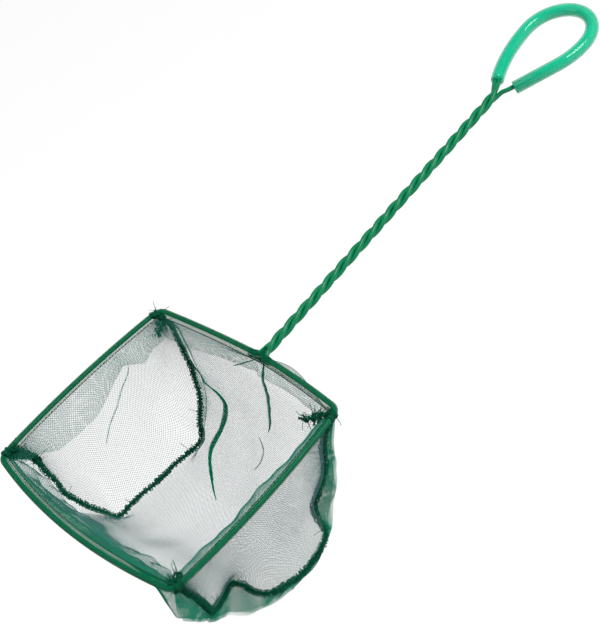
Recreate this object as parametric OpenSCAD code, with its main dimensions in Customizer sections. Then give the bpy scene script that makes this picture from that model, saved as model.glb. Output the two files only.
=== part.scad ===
// Hand net for an aquarium: one coated steel wire bent into a hoop, a three-strand
// twisted handle and a finger loop under a clear sleeve, with a sewn bag of fine net.
// Millimetres. Origin on the handle's axis in the middle of the finger loop, +Y from
// the grip towards the hoop, +Z up out of the bag's mouth, +X to the user's right.

/* [Hoop] */
// Width across the hoop at the handle side, between the wire's centres
hoop_neck_w = 145; // [130:1:160]
// Width across the hoop at the far side, between the wire's centres
hoop_far_w = 152; // [138:1:168]
// Length of the hoop from the neck corners to the far corners
hoop_len = 114; // [100:1:130]
// How far the handle joins to the left of the hoop's middle
neck_offset = 10; // [0:0.5:14]
// How far the neck stands out from the line between the neck corners
neck_peak = 5; // [3:0.5:8]
// Outward bow of the far bar
far_bow = 7.5; // [4:0.5:12]
// Outward bow of each side bar
side_bow = 3.3; // [1.5:0.1:5]
// Outward bow of each half of the neck bar
neck_bow = 0.8; // [0.4:0.1:1.5]
// Bend radius of the hoop's corners
corner_r = 6; // [4:0.5:9]

/* [Wire] */
// Outer diameter of the coated wire
wire_d = 2.5; // [2.2:0.1:3]
// Diameter of the steel core
core_d = 1.7; // [1.2:0.1:2]

/* [Handle] */
// Length of the regular twist
twist_len = 185; // [140:1:240]
// Whole turns that each strand makes, before the last twelfth of a turn
whole_turns = 6; // [5:1:8]
// Length over which the bars' wires bend into the twist
neck_bend = 5; // [5:0.5:12]
// Length over which the twist opens into the finger loop
throat_len = 10; // [10:0.5:18]
// Rise of the handle out of the hoop's plane, in degrees
handle_rise = 4; // [0:0.5:10]

/* [Finger loop] */
// Radius of the loop's round end
loop_r = 20.4; // [18:0.2:26]
// How far the loop leans to the left of the handle's axis
loop_lean = 4.8; // [3:0.2:6]
// Radius of the long leg's curve
long_leg_r = 80; // [70:1:95]
// Turn of the long leg, in degrees
long_leg_turn = 28.5; // [26:0.5:30]
// Radius of the short leg's curve
short_leg_r = 36; // [30:1:42]
// Turn of the short leg, in degrees
short_leg_turn = 30; // [28:0.5:33]
// Straight run at the end of the short leg
short_leg_run = 25; // [20:0.5:28]
// Turn of the long leg that the wire's cut end reaches along, in degrees
tail_turn = 16.5; // [8:0.5:20]
// Wall of the clear sleeve
tube_wall = 0.8; // [0.6:0.1:1.2]
// Room in the sleeve's bore beside its two wires
tube_slack = 0.6; // [0.5:0.1:1]

/* [Bag] */
// Depth of the bag below the hoop
bag_depth = 72; // [55:1:85]
// Thickness of the net
net_t = 0.6; // [0.4:0.1:0.8]
// Width of the bars of the grid that stands for the fine mesh
net_bar = 1.6; // [1:0.1:2.4]
// Diameter of the overlocked seams
seam_d = 2.6; // [2:0.1:3.2]
// Outward belly of the side panels
side_belly = 3; // [1:0.5:5]

/* [Hem] */
// Width of the stitched flap between the wire and the panels
hem_w = 4; // [3:0.2:5]
// Thickness of the net folded round the wire
casing_t = 0.3; // [0.2:0.1:0.5]
// Room between the wire and the net folded round it
casing_gap = 0.1; // [0.06:0.02:0.2]
// Diameter of the stitching thread
thread_d = 0.5; // [0.4:0.05:0.6]

/* [Corner ties] */
// Width of the thread wound round the wire at a corner
tie_w = 2.6; // [2.4:0.1:3.2]
// Thickness of the wound thread
tie_t = 0.5; // [0.4:0.05:0.8]
// Diameter of the knot
knot_d = 2; // [1.6:0.1:2.2]
// How far the knot stands out from the wound thread
knot_out = 1.4; // [1:0.1:2]

/* [Hidden] */
// Steps in a full turn of a bar or a leg, and sides of what is round across
arc_sides = 720;
round_sides = 48;
$fn = round_sides;

// Smallest step between samples when a surface's slope is measured, as a share
slope_share = 0.001;
// Free space kept between soft pieces that lie side by side
soft_gap = 0.3;
// Free space between the strands of the twist
strand_gap = 0.1;
// Room between the core and the coating's bore, on the diameter
core_gap = 0.04;
// Sides of a swept wire and rings in one turn of the twist
wire_sides = 8;
rings_a_turn = 9;
// Rings in each bend at the ends of a strand
bend_rings = 7;

bore_d = core_d + core_gap;
tube_id = 2 * wire_d + tube_slack;
tube_od = tube_id + 2 * tube_wall;
// Centre of the wires from the sleeve's centre, where two lie side by side
wire_shift = (wire_d + tube_slack / 2 + casing_gap) / 2;
turns = whole_turns + 1 / 12;
// A strand's section square to the handle is an oval, so its centre stands a little further
// out than that of a straight wire
straight_r = (wire_d + strand_gap) / sqrt(3);
lay_angle = atan(2 * PI * straight_r * turns / twist_len);
helix_r = straight_r * sqrt(pow(cos(30) / cos(lay_angle), 2) + pow(sin(30), 2));
helix_top = neck_bend + twist_len;
mouth_s = helix_top + throat_len;
loop_s = mouth_s + long_leg_r * sin(long_leg_turn);
casing_r = wire_d / 2 + casing_gap + casing_t;
hem_edge = casing_r + hem_w;

// Corners and neck of the hoop in its own frame: x across, y away from the handle
neck_right = [hoop_neck_w / 2, 0];
far_right = [hoop_far_w / 2, hoop_len];
far_left = [-hoop_far_w / 2, hoop_len];
neck_left = [-hoop_neck_w / 2, 0];
neck = [-neck_offset, -neck_peak];

// Places of the two U-shaped seams, from the neck corner down, along the floor and up to
// the far corner, as shares of half the hoop's width there, of its length and of the depth
right_seam_shares = [[0.975, 0.03, -0.05], [0.96, 0.035, -0.2], [0.92, 0.045, -0.42],
    [0.845, 0.085, -0.72], [0.76, 0.18, -0.95], [0.745, 0.32, -1], [0.74, 0.52, -1.01],
    [0.74, 0.7, -0.99], [0.785, 0.81, -0.86], [0.845, 0.89, -0.55], [0.905, 0.905, -0.28],
    [0.965, 0.955, -0.05]];
left_seam_shares = [[-0.975, 0.035, -0.05], [-0.95, 0.12, -0.16], [-0.935, 0.18, -0.36],
    [-0.85, 0.27, -0.66], [-0.89, 0.33, -0.9], [-0.885, 0.42, -0.97], [-0.87, 0.52, -0.99],
    [-0.835, 0.66, -0.94], [-0.73, 0.745, -0.78], [-0.785, 0.88, -0.6], [-0.88, 0.93, -0.3],
    [-0.965, 0.955, -0.05]];
// Shares of the seam's length at which the floor starts and ends
floor_start_share = 0.38;
floor_end_share = 0.68;

function unit(v) = v / norm(v);
function mix(a, b, t) = a * (1 - t) + b * t;
function flat(p, z = 0) = [p.x, p.y, z];

// Circle of a bar that runs from a to b and bows out to the right of its way
function bar_r(a, b, bow) = pow(norm(b - a), 2) / (8 * bow) + bow / 2;
function bar_centre(a, b, bow) =
    let (d = unit(b - a)) (a + b) / 2 + [-d.y, d.x] * (bar_r(a, b, bow) - bow);
// Crossing of two circles that lies nearer to the point p
function crossing(c1, r1, c2, r2, p) =
    let (d = norm(c2 - c1), u = (c2 - c1) / d, n = [-u.y, u.x],
        a = (d * d + r1 * r1 - r2 * r2) / (2 * d), h = sqrt(r1 * r1 - a * a),
        q1 = c1 + u * a + n * h, q2 = c1 + u * a - n * h)
    norm(q1 - p) < norm(q2 - p) ? q1 : q2;
function heading(v) = atan2(v.y, v.x);
// The same direction as an angle, not less than the angle it follows
function after(angle, start) = angle < start ? after(angle + 360, start) : angle;

corners = [neck_right, far_right, far_left, neck_left, neck];
bows = [side_bow, far_bow, side_bow, neck_bow, neck_bow];
bar_radii = [for (i = [0:4]) bar_r(corners[i], corners[(i + 1) % 5], bows[i])];
bar_centres = [for (i = [0:4]) bar_centre(corners[i], corners[(i + 1) % 5], bows[i])];
// Centre of the bend at the start of bar i; there is none at the neck
function bend_centre(i) =
    let (j = (i + 4) % 5)
    crossing(bar_centres[j], bar_radii[j] - corner_r, bar_centres[i], bar_radii[i] - corner_r,
        corners[i]);
// The neck bars stop short of the neck, where the wire bends into the handle
function stop_turn(i) = neck_bend / bar_radii[i] * 180 / PI;
function bar_start(i) = i == 4
    ? heading(neck - bar_centres[4]) + stop_turn(4)
    : heading(bend_centre(i) - bar_centres[i]);
function bar_end(i) = after(i == 3
    ? heading(neck - bar_centres[3]) - stop_turn(3)
    : heading(bend_centre((i + 1) % 5) - bar_centres[i]), bar_start(i));
function on_bar(i, angle, inward = 0) =
    bar_centres[i] + (bar_radii[i] - inward) * [cos(angle), sin(angle)];
// Point of bar i at the share t of its length, set in from the wire by inward
function along_bar(i, t, inward = 0) = on_bar(i, mix(bar_start(i), bar_end(i), t), inward);

// Smooth curve through a list of points, t from 0 to 1
function spline(list, t) =
    let (n = len(list) - 1, k = min(floor(t * n), n - 1), f = t * n - k,
        b = list[k], c = list[k + 1],
        a = k > 0 ? list[k - 1] : 2 * b - c, d = k < n - 1 ? list[k + 2] : 2 * c - b)
    (2 * b + (c - a) * f + (2 * a - 5 * b + 4 * c - d) * f * f
        + (3 * b - a - 3 * c + d) * f * f * f) / 2;
function bezier(p, q, r, s, t) =
    let (u = 1 - t) p * u * u * u + q * 3 * u * u * t + r * 3 * u * t * t + s * t * t * t;

// The wire's way round the hoop from the neck and back to it, with the rings on each bar
bar_rings = [9, 13, 9, 5, 6];
function arc_points(centre, r, start, end, count) = [for (k = [0:count])
    flat(centre + r * [cos(mix(start, end, k / count)), sin(mix(start, end, k / count))])];
function bar_points(i) =
    arc_points(bar_centres[i], bar_radii[i], bar_start(i), bar_end(i), bar_rings[i]);
function bend_points(i) =
    let (start = bar_end((i + 4) % 5))
    inner(arc_points(bend_centre(i), corner_r, start, after(bar_start(i), start), bend_rings));
hoop_path = concat(bar_points(4), bend_points(0), bar_points(0), bend_points(1), bar_points(1),
    bend_points(2), bar_points(2), bend_points(3), bar_points(3));
function turn_way(angle) = [-sin(angle), cos(angle)];
hoop_ends = [flat(turn_way(bar_start(4))), flat(turn_way(bar_end(3)))];

function scaled(shares) = [for (p = shares)
    [p.x * mix(hoop_neck_w, hoop_far_w, p.y) / 2, p.y * hoop_len, p.z * bag_depth]];
right_seam = scaled(right_seam_shares);
left_seam = scaled(left_seam_shares);

// Places along the handle in its own frame: x to the right, -y along the handle from the
// neck to the grip, z up from the hoop's face
function tilted(p) = let (c = cos(handle_rise), s = sin(handle_rise))
    [p.x, p.y * c - p.z * s, p.y * s + p.z * c];
function bar_stop(i) = tilted(flat(along_bar(i, i == 3 ? 1 : 0) - neck));
function bar_way(i) = tilted(i == 3 ? hoop_ends[1] : -hoop_ends[0]);
function helix(start_angle, s) =
    let (a = start_angle - 360 * turns * (s - neck_bend) / twist_len)
    [helix_r * cos(a), -s, helix_r * sin(a)];
function helix_way(start_angle, s) =
    unit(helix(start_angle, s + strand_gap) - helix(start_angle, s - strand_gap));
twist_rings = ceil(turns * rings_a_turn);
function twist(start_angle, last = twist_rings) = [for (i = [0:last])
    helix(start_angle, neck_bend + twist_len * i / twist_rings)];
// Bend from point p, heading along v, to point q, heading along w
function bend(p, v, q, w, pull, end_pull) = [for (i = [0:bend_rings])
    bezier(p, p + v * pull, q - w * end_pull, q, i / bend_rings)];
function inner(list) = [for (i = [1:len(list) - 2]) list[i]];

// Centre of the sleeve on the long leg at an angle from the round end
function long_leg(angle, shift) =
    [loop_r - loop_lean - long_leg_r + long_leg_r * cos(angle) + shift,
        -loop_s + long_leg_r * sin(angle), 0];
long_leg_way = [sin(long_leg_turn), -cos(long_leg_turn), 0];
short_leg_corner = [short_leg_r - loop_r - loop_lean - short_leg_r * cos(short_leg_turn),
    -loop_s + short_leg_r * sin(short_leg_turn), 0];
short_leg_way = [sin(short_leg_turn), cos(short_leg_turn), 0];
short_leg_stop = short_leg_corner + short_leg_way * short_leg_run;
shift_right = [wire_shift, 0, 0];

// Pulls of the bends, as shares of their lengths: short where a wire turns off early, long
// where it holds on to its way, which keeps the wires of the throat clear of each other
neck_pull_share = 1 / 2;
short_pull_share = 1 / 5;
long_pull_share = 2 / 3;
// Share of the neck's bend at which the returning wire is cut off
cut_share = 0.8;

// The right bar's wire turns up into the twist and on into the long leg
right_start = 30;
right_path = concat(
    bend(bar_stop(4), bar_way(4), helix(right_start, neck_bend),
        helix_way(right_start, neck_bend), neck_bend * neck_pull_share,
        neck_bend * neck_pull_share),
    inner(twist(right_start)),
    bend(helix(right_start, helix_top), helix_way(right_start, helix_top),
        long_leg(long_leg_turn, wire_shift), long_leg_way,
        throat_len * short_pull_share, throat_len * long_pull_share));
right_ends = [bar_way(4), long_leg_way];
// The left bar's wire does the same and ends inside the sleeve
left_start = 150;
left_path = concat(
    bend(bar_stop(3), bar_way(3), helix(left_start, neck_bend),
        helix_way(left_start, neck_bend), neck_bend * neck_pull_share,
        neck_bend * neck_pull_share),
    inner(twist(left_start)),
    bend(helix(left_start, helix_top), helix_way(left_start, helix_top),
        long_leg(long_leg_turn, -wire_shift), long_leg_way,
        throat_len * long_pull_share, throat_len * short_pull_share),
    [for (i = [1:bend_rings])
        long_leg(long_leg_turn - tail_turn * i / bend_rings, -wire_shift)]);
left_ends = [bar_way(3), [sin(long_leg_turn - tail_turn), -cos(long_leg_turn - tail_turn), 0]];
// The wire's other end comes back from the short leg and is cut off under the neck
return_start = 270;
return_path = concat(
    [helix(return_start, neck_bend * cut_share)],
    twist(return_start, twist_rings - 1),
    bend(helix(return_start, helix_top), helix_way(return_start, helix_top),
        short_leg_stop + shift_right, -short_leg_way,
        throat_len * long_pull_share, throat_len * long_pull_share));
return_ends = [helix_way(return_start, neck_bend * cut_share), -short_leg_way];

// Rings of a pipe swept along a path, square to it, with one side kept towards side_way.
// ends holds the directions in which the path starts and ends
function ring(path, i, r, side_way, ends) =
    let (n = len(path) - 1,
        t = i == 0 ? ends[0] : i == n ? ends[1] : unit(path[i + 1] - path[i - 1]),
        b = unit(cross(t, side_way)), c = cross(b, t))
    [for (k = [0:wire_sides - 1]) path[i]
        + r * (cos(360 * k / wire_sides) * b + sin(360 * k / wire_sides) * c)];
function quads(a, b, flip) = [for (k = [0:wire_sides - 1], h = [0:1])
    let (m = (k + 1) % wire_sides, f = h == 0 ? [a + k, a + m, b + m] : [a + k, b + m, b + k])
    flip ? [f[2], f[1], f[0]] : f];
module wire(path, r, side_way, ends) {
    n = len(path);
    pts = [for (i = [0:n - 1], p = ring(path, i, r, side_way, ends)) p];
    polyhedron(pts, concat(
        [for (i = [0:n - 2], f = quads(i * wire_sides, (i + 1) * wire_sides, false)) f],
        [[for (k = [0:wire_sides - 1]) wire_sides - 1 - k]],
        [[for (k = [0:wire_sides - 1]) (n - 1) * wire_sides + k]]));
}
module pipe(path, r, bore_r, side_way, ends) {
    n = len(path);
    hole = n * wire_sides;
    last = (n - 1) * wire_sides;
    pts = [for (r = [r, bore_r], i = [0:n - 1], p = ring(path, i, r, side_way, ends)) p];
    polyhedron(pts, concat(
        [for (i = [0:n - 2], f = quads(i * wire_sides, (i + 1) * wire_sides, false)) f],
        [for (i = [0:n - 2], f = quads(hole + i * wire_sides, hole + (i + 1) * wire_sides, true))
            f],
        quads(0, hole, true), quads(last, hole + last, false)));
}

// Side of a thin sheet over a surface point(u, v)
function sheet_side(point, u, v, half) =
    let (e = slope_share, p = point(u, v),
        du = point(min(u + e, 1), v) - point(max(u - e, 0), v),
        dv = point(u, min(v + e, 1)) - point(u, max(v - e, 0)))
    p + unit(cross(du, dv)) * half;
// Largest part of a cell's side that half a bar of the grid may take
most_bar_share = 0.3;
// Corners of the opening in a cell whose own corners are c, in order round it
function opening(c, bar_w) =
    let (a = [for (k = [0:1])
            min(most_bar_share, bar_w / 2 / norm(k == 0 ? c[3] - c[0] : c[1] - c[0]))])
    [for (m = [[0, 0], [0, 1], [1, 1], [1, 0]])
        let (x = m.x == 0 ? a.x : 1 - a.x, y = m.y == 0 ? a.y : 1 - a.y)
        mix(mix(c[0], c[1], y), mix(c[3], c[2], y), x)];
// Closed thin sheet over a surface point(u, v), as a plain grid of nu by nv open cells
module net_sheet(point, nu, nv, t, bar_w) {
    w = nv + 1;
    m = (nu + 1) * w;
    sides = [for (half = [t / 2, -t / 2]) [for (i = [0:nu], j = [0:nv])
        sheet_side(point, i / nu, j / nv, half)]];
    cells = [for (i = [0:nu - 1], j = [0:nv - 1])
        let (a = i * w + j) [a, a + 1, a + w + 1, a + w]];
    holes = [for (side = sides, c = cells) opening([for (k = c) side[k]], bar_w)];
    first = 2 * m;
    last = first + 4 * len(cells);
    rim = concat([for (i = [0:nu]) i * w], [for (j = [1:nv]) nu * w + j],
        [for (i = [1:nu]) (nu - i) * w + nv], [for (j = [1:nv - 1]) nv - j]);
    polyhedron(concat(sides[0], sides[1], [for (h = holes, p = h) p]), concat(
        [for (n = [0:len(cells) - 1], k = [0:3], h = [0:5])
            let (c = cells[n], k1 = (k + 1) % 4, o = first + 4 * n, q = last + 4 * n)
            h == 0 ? [c[k], c[k1], o + k1] : h == 1 ? [c[k], o + k1, o + k]
                : h == 2 ? [m + c[k], q + k1, m + c[k1]] : h == 3 ? [m + c[k], q + k, q + k1]
                : h == 4 ? [o + k, o + k1, q + k1] : [o + k, q + k1, q + k]],
        [for (k = [0:len(rim) - 1], h = [0:1])
            let (a = rim[k], b = rim[(k + 1) % len(rim)])
            h == 0 ? [a, b, b + m] : [a, b + m, a + m]]));
}

// Net panels. A panel's top edge hangs from the inner edge of its hem
hang_r = hem_edge + soft_gap;
hang_drop = net_t;
function neck_edge(u) =
    let (half = [for (i = [3, 4]) along_bar(i, i == 3 ? u * 2 : u * 2 - 1, hang_r)],
        p = u < 0.5 ? half[0] : half[1])
    flat(p, -hang_drop);
function far_edge(u) = flat(along_bar(1, 1 - u, hang_r), -hang_drop);
function right_edge(u) = flat(along_bar(0, u, hang_r), -hang_drop);
function left_edge(u) = flat(along_bar(2, 1 - u, hang_r), -hang_drop);
// Room that the panels leave beside a seam, with what their straight cells cut off its curves
cell_room = 0.5;
seam_room = seam_d / 2 + soft_gap + net_t / 2 + cell_room;
function across(a, b, u) =
    let (m = seam_room / norm(b - a)) mix(a, b, m + (1 - 2 * m) * u);
main_point = function (u, v)
    let (a = spline(left_seam, v), b = spline(right_seam, v),
        neck_pull = pow(max(0, 1 - v / floor_start_share), 2),
        far_pull = pow(max(0, (v - floor_end_share) / (1 - floor_end_share)), 2),
        a0 = left_seam[0], b0 = right_seam[0],
        a1 = left_seam[len(left_seam) - 1], b1 = right_seam[len(right_seam) - 1])
    across(a, b, u)
        + neck_pull * (neck_edge(u) - across(a0, b0, u)) * sin(180 * u)
        + far_pull * (far_edge(u) - across(a1, b1, u)) * sin(180 * u);
// A side panel runs from its hem to its seam and bellies out between them
function side_point(edge, seam, out, u, v) =
    let (a = edge, b = spline(seam, u), way = spline(seam, u + slope_share) - b,
        m = seam_room / norm(cross(b - a, unit(way))))
    mix(a, b, v * (1 - m)) + out * side_belly * 4 * v * (1 - v) * sin(180 * u);
// Share of the side's length left free at each end, where the panel meets its tie
end_share = 0.04;
function inside(u) = end_share + (1 - 2 * end_share) * u;
right_point = function (u, v)
    side_point(right_edge(inside(u)), right_seam, [1, 0, 0], inside(u), v);
left_point = function (u, v)
    side_point(left_edge(inside(u)), left_seam, [-1, 0, 0], inside(u), v);
// Cells of the panels' grids: of the main panel across and along, of a side along its bar
// and down
main_cells = [10, 22];
side_cells = [11, 4];

// A hem's share of its bar at each end that the corner ties take
hem_start_share = 0.03;
hem_end_share = 0.97;

module place_hoop() {
    translate([neck_offset, loop_s * cos(handle_rise) + neck_peak, -loop_s * sin(handle_rise)])
        children();
}
module place_handle() {
    translate([0, loop_s * cos(handle_rise), -loop_s * sin(handle_rise)])
        rotate([-handle_rise, 0, 0]) children();
}
module arc(centre, r, start, end) {
    translate(flat(centre)) rotate([0, 0, start])
        rotate_extrude(angle = end - start, $fn = arc_sides) translate([r, 0]) children();
}
module bar(i, start = 0, end = 1) {
    arc(bar_centres[i], bar_radii[i], mix(bar_start(i), bar_end(i), start),
        mix(bar_start(i), bar_end(i), end)) children();
}
module ring_shape(d, hole) {
    difference() {
        circle(d = d, $fn = round_sides);
        circle(d = hole, $fn = round_sides);
    }
}
// The loop's round end and both legs, in the handle's frame
module loop_run() {
    top = [-loop_lean, -loop_s];
    arc(top, loop_r, -180, 0) children();
    arc(top + [loop_r - long_leg_r, 0], long_leg_r, 0, long_leg_turn) children();
    translate(top) translate([short_leg_r - loop_r, 0]) rotate([0, 0, 180 - short_leg_turn]) {
        rotate_extrude(angle = short_leg_turn) translate([short_leg_r, 0]) children();
        translate([short_leg_r, 0]) rotate([90, 0, 0]) linear_extrude(short_leg_run) children();
    }
}

module hoop_coating() {
    color([0, 0.45, 0.27]) place_hoop()
        pipe(hoop_path, wire_d / 2, bore_d / 2, [0, 0, 1], hoop_ends);
}
module hoop_core() {
    color([0.6, 0.6, 0.62]) place_hoop() wire(hoop_path, core_d / 2, [0, 0, 1], hoop_ends);
}
module strand(path, ends) {
    color([0, 0.45, 0.27]) place_handle() pipe(path, wire_d / 2, bore_d / 2, [0, 0, 1], ends);
}
module strand_right() strand(right_path, right_ends);
module strand_left() strand(left_path, left_ends);
module strand_return() strand(return_path, return_ends);
module strand_cores() {
    color([0.6, 0.6, 0.62]) place_handle() {
        wire(right_path, core_d / 2, [0, 0, 1], right_ends);
        wire(left_path, core_d / 2, [0, 0, 1], left_ends);
        wire(return_path, core_d / 2, [0, 0, 1], return_ends);
    }
}
module loop_coating() {
    color([0, 0.4, 0.24]) place_handle() translate(shift_right) loop_run()
        ring_shape(wire_d, bore_d);
}
module loop_core() {
    color([0.6, 0.6, 0.62]) place_handle() translate(shift_right) loop_run()
        circle(d = core_d, $fn = round_sides);
}
module grip_tube() {
    color([0.12, 0.8, 0.6, 0.6]) place_handle() loop_run() ring_shape(tube_od, tube_id);
}
module main_panel() {
    color([0.55, 0.7, 0.65]) place_hoop()
        net_sheet(main_point, main_cells.x, main_cells.y, net_t, net_bar);
}
module gusset_right() {
    color([0.5, 0.66, 0.6]) place_hoop()
        net_sheet(right_point, side_cells.x, side_cells.y, net_t, net_bar);
}
module gusset_left() {
    color([0.5, 0.66, 0.6]) place_hoop()
        net_sheet(left_point, side_cells.x, side_cells.y, net_t, net_bar);
}
// Net folded round a bar and stitched into a flat flap on its inner side
module casing(i) {
    color([0.35, 0.6, 0.5]) place_hoop() bar(i, hem_start_share, hem_end_share)
        difference() {
            union() {
                circle(r = casing_r, $fn = round_sides);
                translate([-hem_edge, -casing_t]) square([hem_edge, 2 * casing_t]);
            }
            circle(r = casing_r - casing_t, $fn = round_sides);
        }
}
module casing_right() casing(0);
module casing_far() casing(1);
module casing_left() casing(2);
module casing_neck_left() casing(3);
module casing_neck_right() casing(4);
// One line of stitches along each flap, near its inner edge
module hem_stitching() {
    color([0.02, 0.2, 0.15]) place_hoop() for (i = [0:4])
        bar(i, hem_start_share, hem_end_share)
            translate([-hem_edge + thread_d, casing_t + thread_d / 2])
                circle(d = thread_d, $fn = round_sides);
}
seam_rings = 44;
module seam(list) {
    path = [for (i = [0:seam_rings]) spline(list, i / seam_rings)];
    ends = [unit(path[1] - path[0]), unit(path[seam_rings] - path[seam_rings - 1])];
    color([0.02, 0.28, 0.2]) place_hoop() wire(path, seam_d / 2, [1, 0, 0], ends);
}
module seam_right() seam(right_seam);
module seam_left() seam(left_seam);
// Thread wound round the side bar beside a corner, with the knot that holds the seam
module tie(i, share) {
    p = along_bar(i, share);
    a = mix(bar_start(i), bar_end(i), share);
    bore_r = wire_d / 2 + casing_gap;
    color([0.02, 0.25, 0.18]) place_hoop() translate(flat(p)) rotate([0, 0, a]) difference() {
        union() {
            rotate([90, 0, 0]) cylinder(r = bore_r + tie_t, h = tie_w, center = true);
            rotate([0, -90, 0]) cylinder(d = knot_d, h = bore_r + tie_t + knot_out);
        }
        rotate([90, 0, 0]) cylinder(r = bore_r, h = tie_w + knot_d, center = true);
    }
}
tie_share = 0.014;
module tie_neck_right() tie(0, tie_share);
module tie_far_right() tie(0, 1 - tie_share);
module tie_far_left() tie(2, tie_share);
module tie_neck_left() tie(2, 1 - tie_share);

hoop_coating();
hoop_core();
strand_right();
strand_left();
strand_return();
strand_cores();
loop_coating();
loop_core();
grip_tube();
main_panel();
gusset_right();
gusset_left();
casing_right();
casing_far();
casing_left();
casing_neck_left();
casing_neck_right();
hem_stitching();
seam_right();
seam_left();
tie_neck_right();
tie_far_right();
tie_far_left();
tie_neck_left();
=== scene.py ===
# Aquarium fish net: a coated wire bent into a hoop, a twisted handle and a finger loop
# under a clear sleeve, with a sewn bag of fine net. Lengths below are in millimetres and
# become metres where the meshes are made. Two working frames are used, as in the part's
# source: the hoop's (x across, y away from the handle, z up) and the handle's.
from math import atan, atan2, cos, hypot, pi, radians, sin, sqrt, tau

import bmesh
import bpy
import numpy as np
from mathutils import Matrix, Vector


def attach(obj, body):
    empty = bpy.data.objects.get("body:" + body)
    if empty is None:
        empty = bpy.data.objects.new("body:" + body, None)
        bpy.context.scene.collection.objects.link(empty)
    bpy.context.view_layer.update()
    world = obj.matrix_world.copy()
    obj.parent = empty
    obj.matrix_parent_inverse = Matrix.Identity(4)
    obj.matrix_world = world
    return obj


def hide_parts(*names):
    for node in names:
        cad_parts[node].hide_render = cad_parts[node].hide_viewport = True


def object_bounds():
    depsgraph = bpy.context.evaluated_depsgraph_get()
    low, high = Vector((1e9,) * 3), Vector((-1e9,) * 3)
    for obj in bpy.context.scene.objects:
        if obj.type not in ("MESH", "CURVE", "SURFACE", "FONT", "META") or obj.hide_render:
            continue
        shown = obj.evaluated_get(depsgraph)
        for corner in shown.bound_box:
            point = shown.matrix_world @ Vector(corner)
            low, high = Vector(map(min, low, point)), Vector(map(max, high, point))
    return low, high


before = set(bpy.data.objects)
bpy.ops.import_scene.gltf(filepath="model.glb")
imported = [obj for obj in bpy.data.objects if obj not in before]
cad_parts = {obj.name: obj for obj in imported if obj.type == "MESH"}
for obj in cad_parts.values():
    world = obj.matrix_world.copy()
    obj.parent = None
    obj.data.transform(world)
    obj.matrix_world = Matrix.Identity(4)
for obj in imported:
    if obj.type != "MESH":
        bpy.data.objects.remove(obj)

cad_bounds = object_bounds()
MM = 0.001
BODY = "root"

# Hoop
HOOP_NECK_W, HOOP_FAR_W, HOOP_LEN = 145.0, 152.0, 114.0
NECK_OFFSET, NECK_PEAK = 10.0, 5.0
SIDE_BOW, FAR_BOW, NECK_BOW = 3.3, 7.5, 0.8
CORNER_R = 6.0
WIRE_D = 2.5
# Handle
TWIST_LEN, WHOLE_TURNS, NECK_BEND, THROAT_LEN = 185.0, 6, 5.0, 10.0
HANDLE_RISE = radians(4)
STRAND_GAP = 0.1
# Finger loop
LOOP_R, LOOP_LEAN = 20.4, 4.8
LONG_LEG_R, LONG_LEG_TURN = 80.0, radians(28.5)
SHORT_LEG_R, SHORT_LEG_TURN, SHORT_LEG_RUN = 36.0, radians(30), 25.0
TAIL_TURN = radians(16.5)
TUBE_WALL, TUBE_SLACK = 0.8, 0.6
WIRE_GAP = 0.1
# Bag
RIGHT_SEAM_D, LEFT_SEAM_D = 2.9, 3.2
THREAD_D = 0.5
# Net: thickness of a thread, distance between threads that run the same way, the step at
# which a thread is followed, the longest stretch and largest turn kept as one, and the
# share of the cloth over which its slope is taken. The raw edges past a seam are coarser
NET_THREAD, NET_PITCH = 0.12, 0.9
NET_FINE_STEP, NET_LONG_STEP, NET_TURN_STEP = 0.9, 6.0, radians(14)
NET_NUDGE = 1e-3
EDGE_THREAD, EDGE_PITCH = 0.25, 0.95

HANDLE_S = NECK_BEND + TWIST_LEN + THROAT_LEN
LOOP_S = HANDLE_S + LONG_LEG_R * sin(LONG_LEG_TURN)
NECK_PLACE = np.array([0, LOOP_S * cos(HANDLE_RISE), -LOOP_S * sin(HANDLE_RISE)])
HOOP_PLACE = NECK_PLACE + [NECK_OFFSET, NECK_PEAK, 0]
TUBE_R = WIRE_D + TUBE_SLACK / 2 + TUBE_WALL
WIRE_SHIFT = (WIRE_D + TUBE_SLACK / 2 + WIRE_GAP) / 2


# Points and curves
def hoop_place(points):
    """Points of the hoop's frame, in metres in the part's frame."""
    return (np.asarray(points, float) + HOOP_PLACE) * MM


def handle_place(points):
    """Points of the handle's frame, in metres in the part's frame."""
    p = np.asarray(points, float)
    c, s = cos(HANDLE_RISE), sin(HANDLE_RISE)
    turned = np.stack([p[..., 0], p[..., 1] * c + p[..., 2] * s, -p[..., 1] * s + p[..., 2] * c], -1)
    return (turned + NECK_PLACE) * MM


def unit(v):
    v = np.asarray(v, float)
    return v / np.maximum(np.linalg.norm(v, axis=-1, keepdims=True), 1e-12)


def mix(a, b, t):
    return a * (1 - t) + b * t


def spline(points, t):
    """Smooth curve through a list of points, at each t from 0 to 1."""
    p = np.asarray(points, float)
    p = np.vstack([2 * p[0] - p[1], p, 2 * p[-1] - p[-2]])
    x = np.clip(np.asarray(t, float), 0, 1) * (len(p) - 3)
    k = np.minimum(x.astype(int), len(p) - 4)
    f = (x - k)[..., None]
    a, b, c, d = p[k], p[k + 1], p[k + 2], p[k + 3]
    return (2 * b + (c - a) * f + (2 * a - 5 * b + 4 * c - d) * f**2
            + (3 * b - a - 3 * c + d) * f**3) / 2


def clipped(u, v):
    """Places on a cloth, kept on it and made alike in shape."""
    return np.broadcast_arrays(np.clip(u, 0, 1), np.clip(v, 0, 1))


def upright(z):
    """Shifts of the given heights."""
    return np.stack([0 * z, 0 * z, z], -1)


def bump(x, middle, width):
    """Smooth hill of height 1."""
    return np.exp(-((np.asarray(x) - middle) / width) ** 2)


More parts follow.
